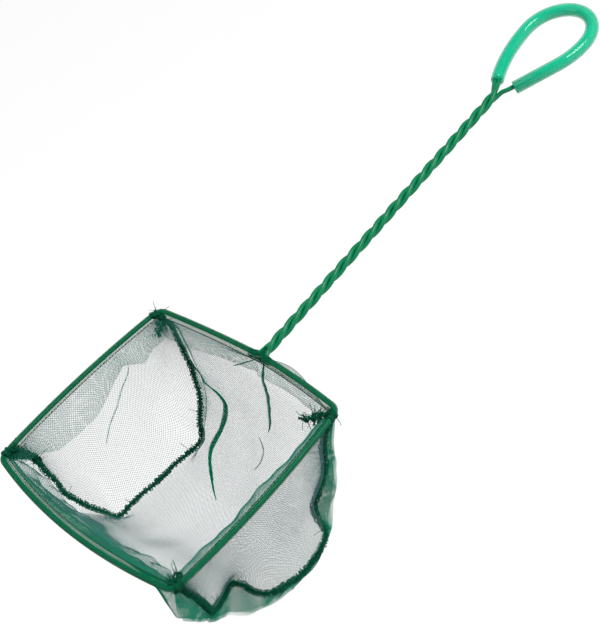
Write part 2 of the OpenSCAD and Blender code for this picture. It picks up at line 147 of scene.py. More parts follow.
# Bars of the hoop, as in the part's source: 0 right, 1 far, 2 left, 3 and 4 the neck's halves
CORNERS = np.array([[HOOP_NECK_W / 2, 0], [HOOP_FAR_W / 2, HOOP_LEN], [-HOOP_FAR_W / 2, HOOP_LEN],
                    [-HOOP_NECK_W / 2, 0], [-NECK_OFFSET, -NECK_PEAK]])
BOWS = [SIDE_BOW, FAR_BOW, SIDE_BOW, NECK_BOW, NECK_BOW]


def bar_circle(i):
    a, b, bow = CORNERS[i], CORNERS[(i + 1) % 5], BOWS[i]
    r = np.linalg.norm(b - a) ** 2 / (8 * bow) + bow / 2
    d = unit(b - a)
    return (a + b) / 2 + np.array([-d[1], d[0]]) * (r - bow), r


BAR_CENTRES, BAR_RADII = zip(*[bar_circle(i) for i in range(5)])


def bend_centre(i):
    """Centre of the rounded corner at the start of bar i."""
    j = (i + 4) % 5
    c1, c2 = BAR_CENTRES[j], BAR_CENTRES[i]
    r1, r2 = BAR_RADII[j] - CORNER_R, BAR_RADII[i] - CORNER_R
    d = np.linalg.norm(c2 - c1)
    u = (c2 - c1) / d
    a = (d * d + r1 * r1 - r2 * r2) / (2 * d)
    h = sqrt(r1 * r1 - a * a)
    both = [c1 + u * a + side * h * np.array([-u[1], u[0]]) for side in (1, -1)]
    return min(both, key=lambda q: np.linalg.norm(q - CORNERS[i]))


def heading(v):
    return atan2(v[1], v[0])


def after(angle, start):
    return angle + tau * np.ceil((start - angle) / tau) if angle < start else angle


def bar_angles(i):
    stop = NECK_BEND / BAR_RADII[i]
    start = (heading(CORNERS[4] - BAR_CENTRES[4]) + stop if i == 4
             else heading(bend_centre(i) - BAR_CENTRES[i]))
    end = (heading(CORNERS[4] - BAR_CENTRES[3]) - stop if i == 3
           else heading(bend_centre((i + 1) % 5) - BAR_CENTRES[i]))
    return start, after(end, start)


BAR_ANGLES = [bar_angles(i) for i in range(5)]


def bend_angles(i):
    """Angles at which the rounded corner before bar i starts and ends."""
    come = BAR_ANGLES[(i + 4) % 5][1]
    return come, after(BAR_ANGLES[i][0], come)


def bar_end(i, end):
    """Point where bar i's arc starts, at end 0, or stops, at end 1."""
    a = BAR_ANGLES[i][end]
    return np.array([*(BAR_CENTRES[i] + BAR_RADII[i] * np.array([cos(a), sin(a)])), 0])


# Making of objects
def deselect_all():
    for ob in bpy.context.selected_objects:
        ob.select_set(False)


def add_mesh(name, verts, faces, tone=None):
    """New object of points in metres in the part's frame and its faces, as an array.

    tone is a number for each point, which the net's colour follows as painted light."""
    verts = np.asarray(verts, np.float32)
    faces = np.asarray(faces, np.int32)
    mesh = bpy.data.meshes.new(name)
    mesh.vertices.add(len(verts))
    mesh.vertices.foreach_set("co", verts.ravel())
    sides = faces.shape[1]
    mesh.loops.add(faces.size)
    mesh.loops.foreach_set("vertex_index", faces.ravel())
    mesh.polygons.add(len(faces))
    mesh.polygons.foreach_set("loop_start", np.arange(0, faces.size, sides, dtype=np.int32))
    mesh.update(calc_edges=True)
    if tone is not None:
        mesh.attributes.new("tone", "FLOAT", "POINT").data.foreach_set("value", tone)
    ob = bpy.data.objects.new(name, mesh)
    bpy.context.scene.collection.objects.link(ob)
    return ob


def tube_mesh(path, r, sides, up=(0, 0, 1), closed_ends=True):
    """Points and triangles of a tube round a path. r is one radius or one for each point."""
    path = np.asarray(path, float)
    n = len(path)
    way = unit(np.gradient(path, axis=0))
    up = np.broadcast_to(np.asarray(up, float), path.shape)
    b = unit(np.cross(way, up))
    c = np.cross(b, way)
    a = np.arange(sides) * tau / sides
    r = np.broadcast_to(np.asarray(r, float), (n,))[:, None, None]
    ring = path[:, None] + r * (np.cos(a)[None, :, None] * b[:, None]
                                + np.sin(a)[None, :, None] * c[:, None])
    verts = ring.reshape(-1, 3)
    k = np.arange(sides)
    i = np.arange(n - 1)[:, None] * sides
    p, q = i + k, i + (k + 1) % sides
    faces = np.concatenate([np.stack([p, q, q + sides], -1).reshape(-1, 3),
                            np.stack([p, q + sides, p + sides], -1).reshape(-1, 3)])
    if closed_ends:
        fan = np.stack([np.zeros(sides - 2, int), k[2:], k[1:-1]], -1)
        faces = np.concatenate([faces, fan, (n - 1) * sides + fan[:, ::-1]])
    return verts, faces


def join_meshes(parts):
    """One mesh of several: points, faces and, where they have it, the points' tone."""
    counts = np.cumsum([0] + [len(part[0]) for part in parts])
    joined = [part[1] + first for part, first in zip(parts, counts)]
    rest = [np.concatenate(column) for column in list(zip(*parts))[2:]]
    return (np.concatenate([part[0] for part in parts]), np.concatenate(joined), *rest)


# Materials
class Link:
    """A socket that carries a number, on which sums can be written."""

    def __init__(self, maker, socket):
        self.maker, self.socket = maker, socket

    def sum(self, operation, a, b):
        return self.maker.node("ShaderNodeMath", {"operation": operation}, {0: a, 1: b})[0]

    def __add__(self, other):
        return self.sum("ADD", self, other)

    def __sub__(self, other):
        return self.sum("SUBTRACT", self, other)

    def __mul__(self, other):
        return self.sum("MULTIPLY", self, other)

    def __rsub__(self, other):
        return self.sum("SUBTRACT", other, self)

    __radd__, __rmul__ = __add__, __mul__


class Maker:
    """Makes one material, or the world, of nodes."""

    def __init__(self, name, store=bpy.data.materials):
        self.made = store.new(name)
        self.made.use_nodes = True
        self.tree = self.made.node_tree
        self.tree.nodes.clear()

    def node(self, kind, settings=None, inputs=None):
        """A new node with its settings and the values or links of its sockets; its outputs."""
        made = self.tree.nodes.new(kind)
        for key, value in (settings or {}).items():
            if key == "stops":
                self.set_stops(made.color_ramp, value)
            else:
                setattr(made, key, value)
        for key, value in (inputs or {}).items():
            if isinstance(value, Link):
                self.tree.links.new(value.socket, made.inputs[key])
            else:
                made.inputs[key].default_value = value
        return [Link(self, out) for out in made.outputs]

    def set_stops(self, ramp, stops):
        while len(ramp.elements) < len(stops):
            ramp.elements.new(0.5)
        for element, (place, colour) in zip(ramp.elements, stops):
            element.position = place
            element.color = (*colour, 1)

    def noise(self, scale, detail=3.0, stretch=None):
        """Noise from 0 to 1 on the piece's own coordinates; scale is in bumps a metre."""
        where = self.node("ShaderNodeTexCoord")[3]
        if stretch:
            where = self.node("ShaderNodeMapping", None, {0: where, 3: stretch})[0]
        return self.node("ShaderNodeTexNoise", None, {"Vector": where, "Scale": scale,
                                                      "Detail": detail})[0]

    def blend(self, factor, a, b):
        """Mix of two colours."""
        return self.node("ShaderNodeMix", {"data_type": "RGBA"},
                         {0: factor, 6: (*a, 1), 7: (*b, 1)})[2]

    def relief(self, height, depth):
        return self.node("ShaderNodeBump", None, {"Height": height, "Distance": depth,
                                                  "Strength": 1.0})[0]

    def finish(self, **inputs):
        """The surface itself; colours are given as three numbers."""
        named = {}
        for key, value in inputs.items():
            key = key.replace("_", " ").title().replace("Ior", "IOR")
            named[key] = (*value, 1) if isinstance(value, tuple) else value
        shader = self.node("ShaderNodeBsdfPrincipled", None, named)[0]
        self.node("ShaderNodeOutputMaterial", None, {"Surface": shader})
        return self.made


def coated_wire():
    """Smooth dark green vinyl on the wire, a little cloudy."""
    m = Maker("green_coating")
    cloud = m.noise(220.0, 4.0)
    colour = m.blend(cloud, (0.0, 0.12, 0.045), (0.0, 0.22, 0.09))
    scuff = m.noise(900.0, 5.0)
    return m.finish(base_color=colour, roughness=0.22 + scuff * 0.2, specular_ior_level=0.22,
                    normal=m.relief(m.noise(700.0, 2.0), 0.00005))


def bare_steel():
    """Drawn steel wire at the cut ends."""
    m = Maker("drawn_steel")
    line = m.noise(500.0, 3.0, (1, 1, 12))
    colour = m.blend(line, (0.32, 0.33, 0.34), (0.55, 0.56, 0.57))
    return m.finish(base_color=colour, metallic=1.0, roughness=0.25 + line * 0.25)


def clear_sleeve():
    """Clear mint vinyl of the finger loop, through which the wire shows."""
    m = Maker("mint_vinyl")
    cloud = m.noise(160.0, 3.0)
    colour = m.blend(cloud, (0.0, 0.45, 0.23), (0.01, 0.58, 0.34))
    return m.finish(base_color=colour, alpha=0.6, roughness=0.12, ior=1.45,
                    specular_ior_level=0.4, normal=m.relief(m.noise(120.0, 1.0), 0.00003))


def net_thread():
    """Fine synthetic thread of the net, its colour painted light that follows the tone: greyish
    where it lies single, green where it is bunched, standing in for light passed through the
    layers, and deepest where it is drawn tight round the wire, standing in for the wire seen
    through it."""
    m = Maker("mint_net")
    tone = m.node("ShaderNodeAttribute", {"attribute_name": "tone"})[2]
    tone = tone + (m.noise(70.0) - 0.5) * 0.15
    # Painted light: the ramp greys single net and greens bunched net, as light through its layers
    colour = m.node("ShaderNodeValToRGB", {"stops": [
        (0.0, (0.06, 0.14, 0.135)), (0.35, (0.03, 0.20, 0.145)),
        (0.8, (0.0, 0.27, 0.15)), (1.0, (0.0, 0.135, 0.062))]}, {0: tone})[0]
    return m.finish(base_color=colour, roughness=0.55 + m.noise(1500.0) * 0.2,
                    specular_ior_level=0.08)


def spun_thread(name, dark, light):
    """Twisted sewing thread."""
    m = Maker(name)
    fibre = m.noise(2500.0, 4.0)
    colour = m.blend(fibre, dark, light)
    return m.finish(base_color=colour, roughness=0.6 + fibre * 0.3, specular_ior_level=0.1,
                    normal=m.relief(fibre, 0.0002))


COATING = coated_wire()
STEEL = bare_steel()
SLEEVE = clear_sleeve()
NET = net_thread()
OVERLOCK = spun_thread("overlock_thread", (0.0, 0.03, 0.015), (0.0, 0.14, 0.07))
STITCH = spun_thread("stitch_thread", (0.004, 0.02, 0.016), (0.02, 0.06, 0.05))


def paint(ob, material, smooth=True):
    ob.data.materials.clear()
    ob.data.materials.append(material)
    if smooth:
        ob.data.polygons.foreach_set("use_smooth", [True] * len(ob.data.polygons))
    return ob


def hand_in(ob, node):
    """A finished piece: its body and the node that it stands for."""
    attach(ob, BODY)
    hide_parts(node)


# Camera, at the photograph's place, and the studio
PHOTO_W = 600
FOCAL_PIXELS = 1517.1
CAMERA_PLACE = (-0.53228, 0.43834, 0.48476)
CAMERA_AXES = ((-0.6409, 0.324, -0.6959), (-0.6703, -0.6779, 0.3017), (-0.374, 0.6598, 0.6517))
SENSOR = 36.0


def set_camera():
    data = bpy.data.cameras.new("camera")
    data.sensor_fit = "HORIZONTAL"
    data.sensor_width = SENSOR
    data.lens = SENSOR * FOCAL_PIXELS / PHOTO_W
    data.clip_start = 0.01
    ob = bpy.data.objects.new("camera", data)
    turn = Matrix(CAMERA_AXES).to_4x4()
    ob.matrix_world = Matrix.Translation(CAMERA_PLACE) @ turn
    bpy.context.scene.collection.objects.link(ob)
    bpy.context.scene.camera = ob


def lamp(name, place, aim, size, power):
    data = bpy.data.lights.new(name, "AREA")
    data.shape = "DISK"
    data.size = size
    data.energy = power
    ob = bpy.data.objects.new(name, data)
    way = Vector(aim) - Vector(place)
    ob.matrix_world = Matrix.Translation(place) @ way.to_track_quat("-Z", "Y").to_matrix().to_4x4()
    bpy.context.scene.collection.objects.link(ob)


# Lamps: name, place, size in metres and power in watts
LAMPS = [("key", (-0.55, -0.25, 0.95), 0.6, 15.0), ("fill", (0.7, 0.9, 0.7), 0.9, 4.0)]
SKY_LIGHT, SKY_SEEN = 0.55, 1.0
FLOOR_DROP, FLOOR_SIZE = 0.16, 6.0
FLOOR_GLOW, FLOOR_GLOW_SHARE = 1.03, 0.8


def seen_ray(m):
    """1 where the camera looks, straight or through something clear."""
    ray = m.node("ShaderNodeLightPath")
    return ray[0].sum("MAXIMUM", ray[0], ray[6])


def set_sky():
    """White to look at, grey as a light."""
    m = Maker("surrounding", bpy.data.worlds)
    strength = m.node("ShaderNodeMapRange", None, {0: seen_ray(m), 3: SKY_LIGHT, 4: SKY_SEEN})[0]
    sky = m.node("ShaderNodeBackground", None, {"Strength": strength})[0]
    m.node("ShaderNodeOutputWorld", None, {"Surface": sky})
    bpy.context.scene.world = m.made


def set_floor():
    """Pale floor below the bag, which still takes some of the object's shadow."""
    deselect_all()
    low = cad_bounds[0][2] - FLOOR_DROP
    bpy.ops.mesh.primitive_plane_add(size=FLOOR_SIZE, location=(0, 0, low))
    bpy.ops.object.transform_apply(location=True)
    floor = bpy.context.object
    floor.name = "floor"
    m = Maker("pale_floor")
    tone = m.blend(m.noise(60.0), (0.92, 0.92, 0.92), (0.95, 0.95, 0.95))
    matt = m.node("ShaderNodeBsdfDiffuse", None, {"Color": tone})[0]
    glow = m.node("ShaderNodeEmission", None, {"Strength": FLOOR_GLOW})[0]
    both = m.node("ShaderNodeMixShader", None, {0: seen_ray(m) * FLOOR_GLOW_SHARE, 1: matt,
                                                2: glow})[0]
    m.node("ShaderNodeOutputMaterial", None, {"Surface": both})
    paint(floor, m.made, False)


def set_studio():
    bpy.context.scene.view_settings.view_transform = "Standard"
    set_sky()
    middle = ((cad_bounds[0][0] + cad_bounds[1][0]) / 2,
              (cad_bounds[0][1] + cad_bounds[1][1]) / 2, 0)
    for name, place, size, power in LAMPS:
        lamp(name, place, middle, size, power)
    set_floor()


set_camera()
set_studio()


# Wire: sides of its section on the hoop and on the loop, the strands' bevel resolution, and
# the steps along the bars, the corners and the loop
RING_SIDES, LOOP_SIDES, BEVEL_STEPS = 16, 24, 6
WIRE_STEP, CORNER_STEP, LOOP_STEP = 2.0, 0.7, 1.5


def start_ring(name, place, way, r, sides):
    """A circle square to the wire's way, open in edit mode and ready to be spun along."""
    deselect_all()
    turn = Vector(way).to_track_quat("Z", "Y").to_euler()
    bpy.ops.mesh.primitive_circle_add(vertices=sides, radius=r * MM, fill_type="NOTHING",
                                      location=place, rotation=turn)
    ob = bpy.context.object
    ob.name = ob.data.name = name
    bpy.ops.object.transform_apply(location=True, rotation=True)
    bpy.ops.object.mode_set(mode="EDIT")
    bpy.ops.mesh.select_all(action="SELECT")
    return ob


def spin_on(centre, turn, axis, r, step):
    """Goes on along an arc of the given turn and radius, in millimetres."""
    steps = max(3, int(abs(turn) * r / step))
    bpy.ops.mesh.spin(steps=steps, angle=-turn, center=centre, axis=axis)


def close_tube():
    """Back to object mode, with doubles merged and the faces turned outwards."""
    bpy.ops.mesh.select_all(action="SELECT")
    bpy.ops.mesh.remove_doubles(threshold=1e-6)
    bpy.ops.mesh.normals_make_consistent(inside=False)
    bpy.ops.object.mode_set(mode="OBJECT")


def make_hoop():
    """The wire's way round the hoop, from the neck and back to it."""
    a = BAR_ANGLES[4][0]
    ob = start_ring("hoop_wire", hoop_place(bar_end(4, 0)), (-sin(a), cos(a), 0), WIRE_D / 2,
                    RING_SIDES)
    for i in (4, 0, 1, 2, 3):
        if i != 4:
            start, end = bend_angles(i)
            spin_on(hoop_place([*bend_centre(i), 0]), end - start, (0, 0, 1), CORNER_R, CORNER_STEP)
        start, end = BAR_ANGLES[i]
        spin_on(hoop_place([*BAR_CENTRES[i], 0]), end - start, (0, 0, 1), BAR_RADII[i], WIRE_STEP)
    close_tube()
    hand_in(paint(ob, COATING), "hoop_coating")


# Twist, and the angles at which the wire's three runs start on it
TURNS = WHOLE_TURNS + 1 / 12
RIGHT_START, LEFT_START, RETURN_START = radians(30), radians(150), radians(270)
STRAIGHT_R = (WIRE_D + STRAND_GAP) / sqrt(3)
LAY = atan(tau * STRAIGHT_R * TURNS / TWIST_LEN)
HELIX_R = STRAIGHT_R * sqrt((cos(RIGHT_START) / cos(LAY)) ** 2 + sin(RIGHT_START) ** 2)
TWIST_TOP = NECK_BEND + TWIST_LEN
HELIX_NUDGE = 0.1


def helix(start, s):
    a = start - tau * TURNS * (np.asarray(s, float) - NECK_BEND) / TWIST_LEN
    return np.stack([HELIX_R * np.cos(a), -np.asarray(s, float), HELIX_R * np.sin(a)], -1)


def helix_way(start, s):
    return unit(helix(start, s + HELIX_NUDGE) - helix(start, s - HELIX_NUDGE))


def bend(p, v, q, w, pull, end_pull, count):
    """Bend from point p, heading along v, to point q, heading along w."""
    t = np.linspace(0, 1, count)[:, None]
    b, c = p + np.asarray(v) * pull, q - np.asarray(w) * end_pull
    return p * (1 - t) ** 3 + b * 3 * (1 - t) ** 2 * t + c * 3 * (1 - t) * t**2 + q * t**3


def tilted(p):
    """A point of the hoop's plane, seen from the neck in the handle's frame."""
    c, s = cos(HANDLE_RISE), sin(HANDLE_RISE)
    return np.array([p[0], p[1] * c - p[2] * s, p[1] * s + p[2] * c])


def bar_stop(i):
    return tilted(bar_end(i, 1 if i == 3 else 0) - [*CORNERS[4], 0])


def bar_way(i):
    a = BAR_ANGLES[i][1 if i == 3 else 0]
    side = 1 if i == 3 else -1
    return tilted(np.array([-sin(a), cos(a), 0]) * side)


def long_leg(angle, shift):
    angle = np.asarray(angle, float)
    return np.stack([LOOP_R - LOOP_LEAN - LONG_LEG_R + LONG_LEG_R * np.cos(angle) + shift,
                     -LOOP_S + LONG_LEG_R * np.sin(angle), 0 * angle], -1)


LONG_WAY = np.array([sin(LONG_LEG_TURN), -cos(LONG_LEG_TURN), 0])
SHORT_WAY = np.array([sin(SHORT_LEG_TURN), cos(SHORT_LEG_TURN), 0])
SHORT_CORNER = np.array([SHORT_LEG_R - LOOP_R - LOOP_LEAN - SHORT_LEG_R * cos(SHORT_LEG_TURN),
                         -LOOP_S + SHORT_LEG_R * sin(SHORT_LEG_TURN), 0])
SHORT_STOP = SHORT_CORNER + SHORT_WAY * SHORT_LEG_RUN
# How far the bends between straight runs reach, as shares of the room that they have, and
# how far up the neck the cut end lies
NECK_PULL, SHORT_PULL, LONG_PULL, CUT_SHARE = 1 / 2, 1 / 5, 2 / 3, 0.8
STRAND_POINTS, BEND_POINTS, TAIL_POINTS = 260, 14, 20


def twist(start, s0=NECK_BEND):
    return helix(start, np.linspace(s0, TWIST_TOP, STRAND_POINTS))[1:-1]


def neck_bend(i, start, count=BEND_POINTS):
    """A strand's bend from bar i into the twist."""
    pull = NECK_BEND * NECK_PULL
    return bend(bar_stop(i), bar_way(i), helix(start, NECK_BEND), helix_way(start, NECK_BEND),
                pull, pull, count)


def throat_bend(start, goal, way, pull, end_pull):
    """A strand's bend from the twist to the finger loop."""
    return bend(helix(start, TWIST_TOP), helix_way(start, TWIST_TOP), goal, way,
                THROAT_LEN * pull, THROAT_LEN * end_pull, BEND_POINTS)


def strand_paths():
    """The three strands, from the neck to the finger loop."""
    right = [neck_bend(4, RIGHT_START), twist(RIGHT_START),
             throat_bend(RIGHT_START, long_leg(LONG_LEG_TURN, WIRE_SHIFT), LONG_WAY,
                         SHORT_PULL, LONG_PULL)]
    tail = np.linspace(0, TAIL_TURN, TAIL_POINTS)[1:]
    left = [neck_bend(3, LEFT_START), twist(LEFT_START),
            throat_bend(LEFT_START, long_leg(LONG_LEG_TURN, -WIRE_SHIFT), LONG_WAY,
                        LONG_PULL, SHORT_PULL),
            long_leg(LONG_LEG_TURN - tail, -WIRE_SHIFT)]
    back = [twist(RETURN_START, NECK_BEND * CUT_SHARE),
            throat_bend(RETURN_START, SHORT_STOP + [WIRE_SHIFT, 0, 0], -SHORT_WAY,
                        LONG_PULL, LONG_PULL)]
    return {"right": np.vstack(right), "left": np.vstack(left), "return": np.vstack(back)}


def curve_tube(name, path, r):
    """A tube bevelled on a curve through the points, then made a mesh."""
    data = bpy.data.curves.new(name, "CURVE")
    data.dimensions = "3D"
    data.bevel_depth = r * MM
    data.bevel_resolution = BEVEL_STEPS
    data.use_fill_caps = True
    run = data.splines.new("POLY")
    run.points.add(len(path) - 1)
    run.points.foreach_set("co", np.column_stack([path, np.ones(len(path))]).ravel())
    ob = bpy.data.objects.new(name, data)
    bpy.context.scene.collection.objects.link(ob)
    deselect_all()
    ob.select_set(True)
    bpy.context.view_layer.objects.active = ob
    bpy.ops.object.convert(target="MESH")
    return ob


def make_strands():
    for name, path in strand_paths().items():
        ob = curve_tube("strand_of_twist_" + name, handle_place(path), WIRE_D / 2)
        hand_in(paint(ob, COATING), "strand_" + name)


def make_loop_tube(name, rings, material, node, shift=0.0):
    """Runs a ring from the end of the short leg round the finger loop to the long leg's end.

    rings holds the outer radius and, for the sleeve, the bore's radius."""
    tilt = Matrix.Rotation(-HANDLE_RISE, 3, "X")
    axis = tilt @ Vector((0, 0, 1))
    run_down = {"value": tilt @ Vector(-SHORT_WAY * SHORT_LEG_RUN * MM)}
    walls = []
    for r in rings:
        ob = start_ring(name, handle_place(SHORT_STOP + [shift, 0, 0]), tilt @ Vector(-SHORT_WAY),
                        r, LOOP_SIDES)
        bpy.ops.mesh.extrude_region_move(TRANSFORM_OT_translate=run_down)
        for x, turn, arc_r in ((SHORT_LEG_R - LOOP_R, SHORT_LEG_TURN, SHORT_LEG_R),
                               (0, pi, LOOP_R),
                               (LOOP_R - LONG_LEG_R, LONG_LEG_TURN, LONG_LEG_R)):
            spin_on(handle_place([x - LOOP_LEAN + shift, -LOOP_S, 0]), turn, axis, arc_r, LOOP_STEP)
        close_tube()
        walls.append(ob)
    if len(walls) == 2:
        deselect_all()
        for ob in walls:
            ob.select_set(True)
        bpy.context.view_layer.objects.active = walls[0]
        bpy.ops.object.join()
        bpy.ops.object.mode_set(mode="EDIT")
        for end in (0, 1):
            bpy.ops.mesh.select_all(action="DESELECT")
            select_rims(walls[0].data, end)
            bpy.ops.mesh.bridge_edge_loops()
        bpy.ops.mesh.select_all(action="SELECT")
        bpy.ops.mesh.normals_make_consistent(inside=False)
        bpy.ops.object.mode_set(mode="OBJECT")
    hand_in(paint(walls[0], material), node)


def select_rims(mesh, end):
    """Selects the two open edge loops nearest to one end of the sleeve."""
    bm = bmesh.from_edit_mesh(mesh)
    goal = Vector(handle_place(long_leg(LONG_LEG_TURN, 0) if end else SHORT_STOP))
    reach = 2 * TUBE_R * MM
    for edge in bm.edges:
        if edge.is_boundary and (edge.verts[0].co - goal).length < reach:
            edge.select = True
    bm.select_flush_mode()
    bmesh.update_edit_mesh(mesh)


make_hoop()
make_strands()
make_loop_tube("loop_wire", [WIRE_D / 2], COATING, "loop_coating", WIRE_SHIFT)
make_loop_tube("finger_sleeve", [TUBE_R, TUBE_R - TUBE_WALL], SLEEVE, "grip_tube")


# Bag. Places of the two U-shaped seams in the hoop's frame, from the neck corner down,
# along the floor and up to the far corner; their ends meet the hems' stitch lines
RIGHT_SEAM = [(70, 0, -11), (67.5, 2, -20), (65, 4, -29), (62, 7, -39), (59.5, 10, -46),
              (57, 14, -53), (55.5, 18.5, -58.5), (53.5, 23, -63), (53, 25, -68), (54, 28, -72.5),
              (54.5, 34, -73), (55, 47, -71.5), (54, 58, -70.5), (55, 70, -69.5), (54.5, 79, -68.5),
              (54, 86, -68.5), (54, 90, -67), (56.5, 93, -61), (60, 96, -55.5), (63, 99.5, -47),
              (66, 101.5, -39), (68.5, 101, -30), (70.5, 102, -23), (72, 101.5, -17),
              (73, 103, -10)]
LEFT_SEAM = [(-70.5, 9.5, -5.5), (-70, 14, -11), (-69, 16.5, -18.5), (-68.5, 19, -25.5),
             (-67.5, 24, -32.5), (-64.5, 29, -40), (-61.5, 32.5, -47.5), (-61.5, 33.5, -54),
             (-64.5, 34.5, -61), (-66.5, 38, -64), (-67, 45, -66.5), (-66, 53, -69),
             (-65, 61.5, -69.5), (-64, 71, -66.5), (-62, 78, -63), (-59.5, 80.5, -59),
             (-57.5, 83, -52), (-55, 86.5, -48.5), (-60, 95, -45.5), (-64, 102, -42.5),
             (-65.5, 104, -39.5), (-68, 105, -30.5), (-71, 107, -18.5)]
# Net folded round the wire, and the line where the fold is stitched
FOLD_SLACK, HEM_IN, HEM_DROP = 0.35, 3.0, 1.2
FOLD_R = WIRE_D / 2 + FOLD_SLACK


def run_arcs(i):
    """Arcs that make bar i's run from the middle of one corner to that of the next."""
    start, end = BAR_ANGLES[i]
    stop = NECK_BEND / BAR_RADII[i]
    arcs = []
    if i != 4:
        a, b = bend_angles(i)
        arcs.append((bend_centre(i), CORNER_R, (a + b) / 2, b))
    arcs.append((BAR_CENTRES[i], BAR_RADII[i], start - (stop if i == 4 else 0),
                 end + (stop if i == 3 else 0)))
    if i != 3:
        a, b = bend_angles((i + 1) % 5)
        arcs.append((bend_centre((i + 1) % 5), CORNER_R, a, (a + b) / 2))
    return arcs


RUNS = [run_arcs(i) for i in range(5)]


def run_length(i):
    return sum(r * (b - a) for _, r, a, b in RUNS[i])


def run(i, t, inward=0.0, z=0.0):
    """Point beside bar i at the share t of its run, set in from the wire by inward."""
    t = np.asarray(t, float)
    s = np.clip(t, 0, 1) * run_length(i)
    x, y, first = np.zeros_like(s), np.zeros_like(s), 0.0
    for centre, r, a, b in RUNS[i]:
        long = r * (b - a)
        here = s >= first - 1e-9
        angle = a + np.clip(s - first, 0, long) / r
        x = np.where(here, centre[0] + (r - inward) * np.cos(angle), x)
        y = np.where(here, centre[1] + (r - inward) * np.sin(angle), y)
        first += long
    return np.stack(np.broadcast_arrays(x, y, z + 0 * x), -1)


def run_inward(i, t):
    return unit(run(i, t, 1.0) - run(i, t))


def rim(i, t):
    """Stitch line of bar i's hem, where the panel leaves it."""
    return run(i, t, HEM_IN, -HEM_DROP)


def follow(share, shares, points):
    """Points of a course given as a table."""
    return np.stack([np.interp(share, shares, column) for column in points.T], -1)


COURSE_POINTS = 60


class Course:
    """A smooth curve through points, followed by its length, from 0 to 1."""

    def __init__(self, points):
        self.points = spline(points, np.linspace(0, 1, COURSE_POINTS * len(points)))
        steps = np.linalg.norm(np.diff(self.points, axis=0), axis=1)
        reach = np.concatenate([[0], np.cumsum(steps)])
        self.length = reach[-1]
        self.shares = reach / self.length

    def at(self, share):
        return follow(share, self.shares, self.points)


# Share of each half of the neck bar, where they meet, that the neck wall's edge leaves out
NECK_SKIP = 0.06
NECK_POINTS, FAR_POINTS = 12, 60
right_seam = Course([rim(0, 0.0), *RIGHT_SEAM, rim(0, 1.0)])
left_seam = Course([rim(2, 1.0), *LEFT_SEAM, rim(2, 0.0)])
neck_rim = Course([*rim(3, np.linspace(0, 1 - NECK_SKIP, NECK_POINTS)),
                   *rim(4, np.linspace(NECK_SKIP, 1, NECK_POINTS))])
far_rim = Course(rim(1, np.linspace(1, 0, FAR_POINTS)))


def fall(x, reach):
    """1 at an edge, 0 from reach on, flat at both."""
    x = np.clip(x / reach, 0, 1)
    return 1 - x * x * (3 - 2 * x)


# How far the net billows out past each seam: share of the seam's length, sideways and out
# of the bag
LEFT_BILLOW = [(0, 0, 0), (0.03, 2, 2.3), (0.07, 3.3, 3.7), (0.13, 2.8, 3.6), (0.17, 3.3, 4.2),
               (0.2, 4.5, 5.5), (0.235, 6, 5.9), (0.27, 6.8, 6.6), (0.3, 6.1, 6.1),
               (0.335, 3.6, 3.7), (0.37, 1.3, 1.4), (0.4, 0.8, 0.6), (0.47, 1.9, 1.7),
               (0.54, 2.2, 2), (0.6, 5, 4.8), (0.635, 6.3, 9), (0.67, 7, 11), (0.7, 6.5, 11),
               (0.735, 5, 7.8), (0.77, 3.2, 4.5), (0.8, 2, 3.1), (0.835, 3.8, 5.1),
               (0.87, 3.2, 7.7), (0.9, 3.9, 9.1), (0.935, 0.5, 9), (0.97, 0.4, 5), (1, 0, 0)]
RIGHT_BILLOW = [(0, 0, 0), (0.1, 0, 1), (0.18, 0, 2.5), (0.25, 0, 3.5), (0.32, 0, 2), (0.5, 0, 0.6),
                (0.9, 0, 1), (1, 0, 0)]
# Share of the width at which a billow is highest, and share of its sideways part that goes
# sideways, where the rest goes out of the bag
BILLOW_AT, BILLOW_SIDE = 0.05, 0.4
# How far the hems' course reaches down the neck and far walls, and how far the seams' small
# bends reach into the panels
WALL_SHARE = 0.36
LEFT_KINK_REACH, RIGHT_KINK_REACH, SIDE_KINK_REACH = 0.22, 0.1, 0.4
# Bunching of the net beside the left seam: its reach and its share there
GATHER, GATHER_SHARE = 0.08, 0.78
# Waves of the main panel: height, pace along u and v, and phase; and those of the raw edges
# beside it, which take their phase later
MAIN_WAVES = [(0.5, 9, 5, 0), (0.35, 17, -7, 1), (0.2, 31, 11, 0)]
EDGE_SWAY, EDGE_RIPPLE = (0.9, 0, 26), (0.5, 0, 61)
# Pushes on the main panel: place across and along it, reach of each, and the way it moves;
# they die away in the margins at the neck's hem and the right seam
PUSHES = [(0.31, 0.036, 0.19, 0.026, (0, -9.5, 1.5)), (0.5, 0.5, 0.3, 0.15, (0, 0, -2)),
          (0.93, 0.83, 0.13, 0.08, (0, 6, -1))]
NECK_MARGIN, RIGHT_MARGIN = 0.02, 0.045
# Spread over which a seam's course is eased, and what is added to it up to a share of the
# course, over which it dies away
EASE, EASE_MORE, EASE_MORE_TO, EASE_MORE_REACH = 0.025, 0.05, 0.35, 0.2
OUTWARD_REACH = 0.09
MARKS = np.linspace(0, 1, 400)


def outward_course():
    way = sum(seam.at(MARKS + OUTWARD_REACH) - seam.at(MARKS - OUTWARD_REACH)
              for seam in (left_seam, right_seam))
    return unit(np.stack([0 * MARKS, way[:, 2], -way[:, 1]], -1))


OUTWARD = outward_course()


def out_of_bag(v):
    """Direction out of the bag across the main panel, in the plane along the handle."""
    return follow(v, MARKS, OUTWARD)


def without_kinks(seam):
    """A seam's course as the cloth away from it lies."""
    spread = EASE + EASE_MORE * fall(MARKS - EASE_MORE_TO, EASE_MORE_REACH)
    return sum(seam.at(MARKS + spread * k) for k in (-2, -1, 0, 1, 2)) / 5


def hill(x):
    """Rises from 0 to 1 at x = 1 and dies away."""
    x = np.maximum(x, 0)
    return x * np.exp(1 - x)


def table(x, rows, column=1):
    """A value read off a list of rows by their first number."""
    return np.interp(x, [row[0] for row in rows], [row[column] for row in rows])


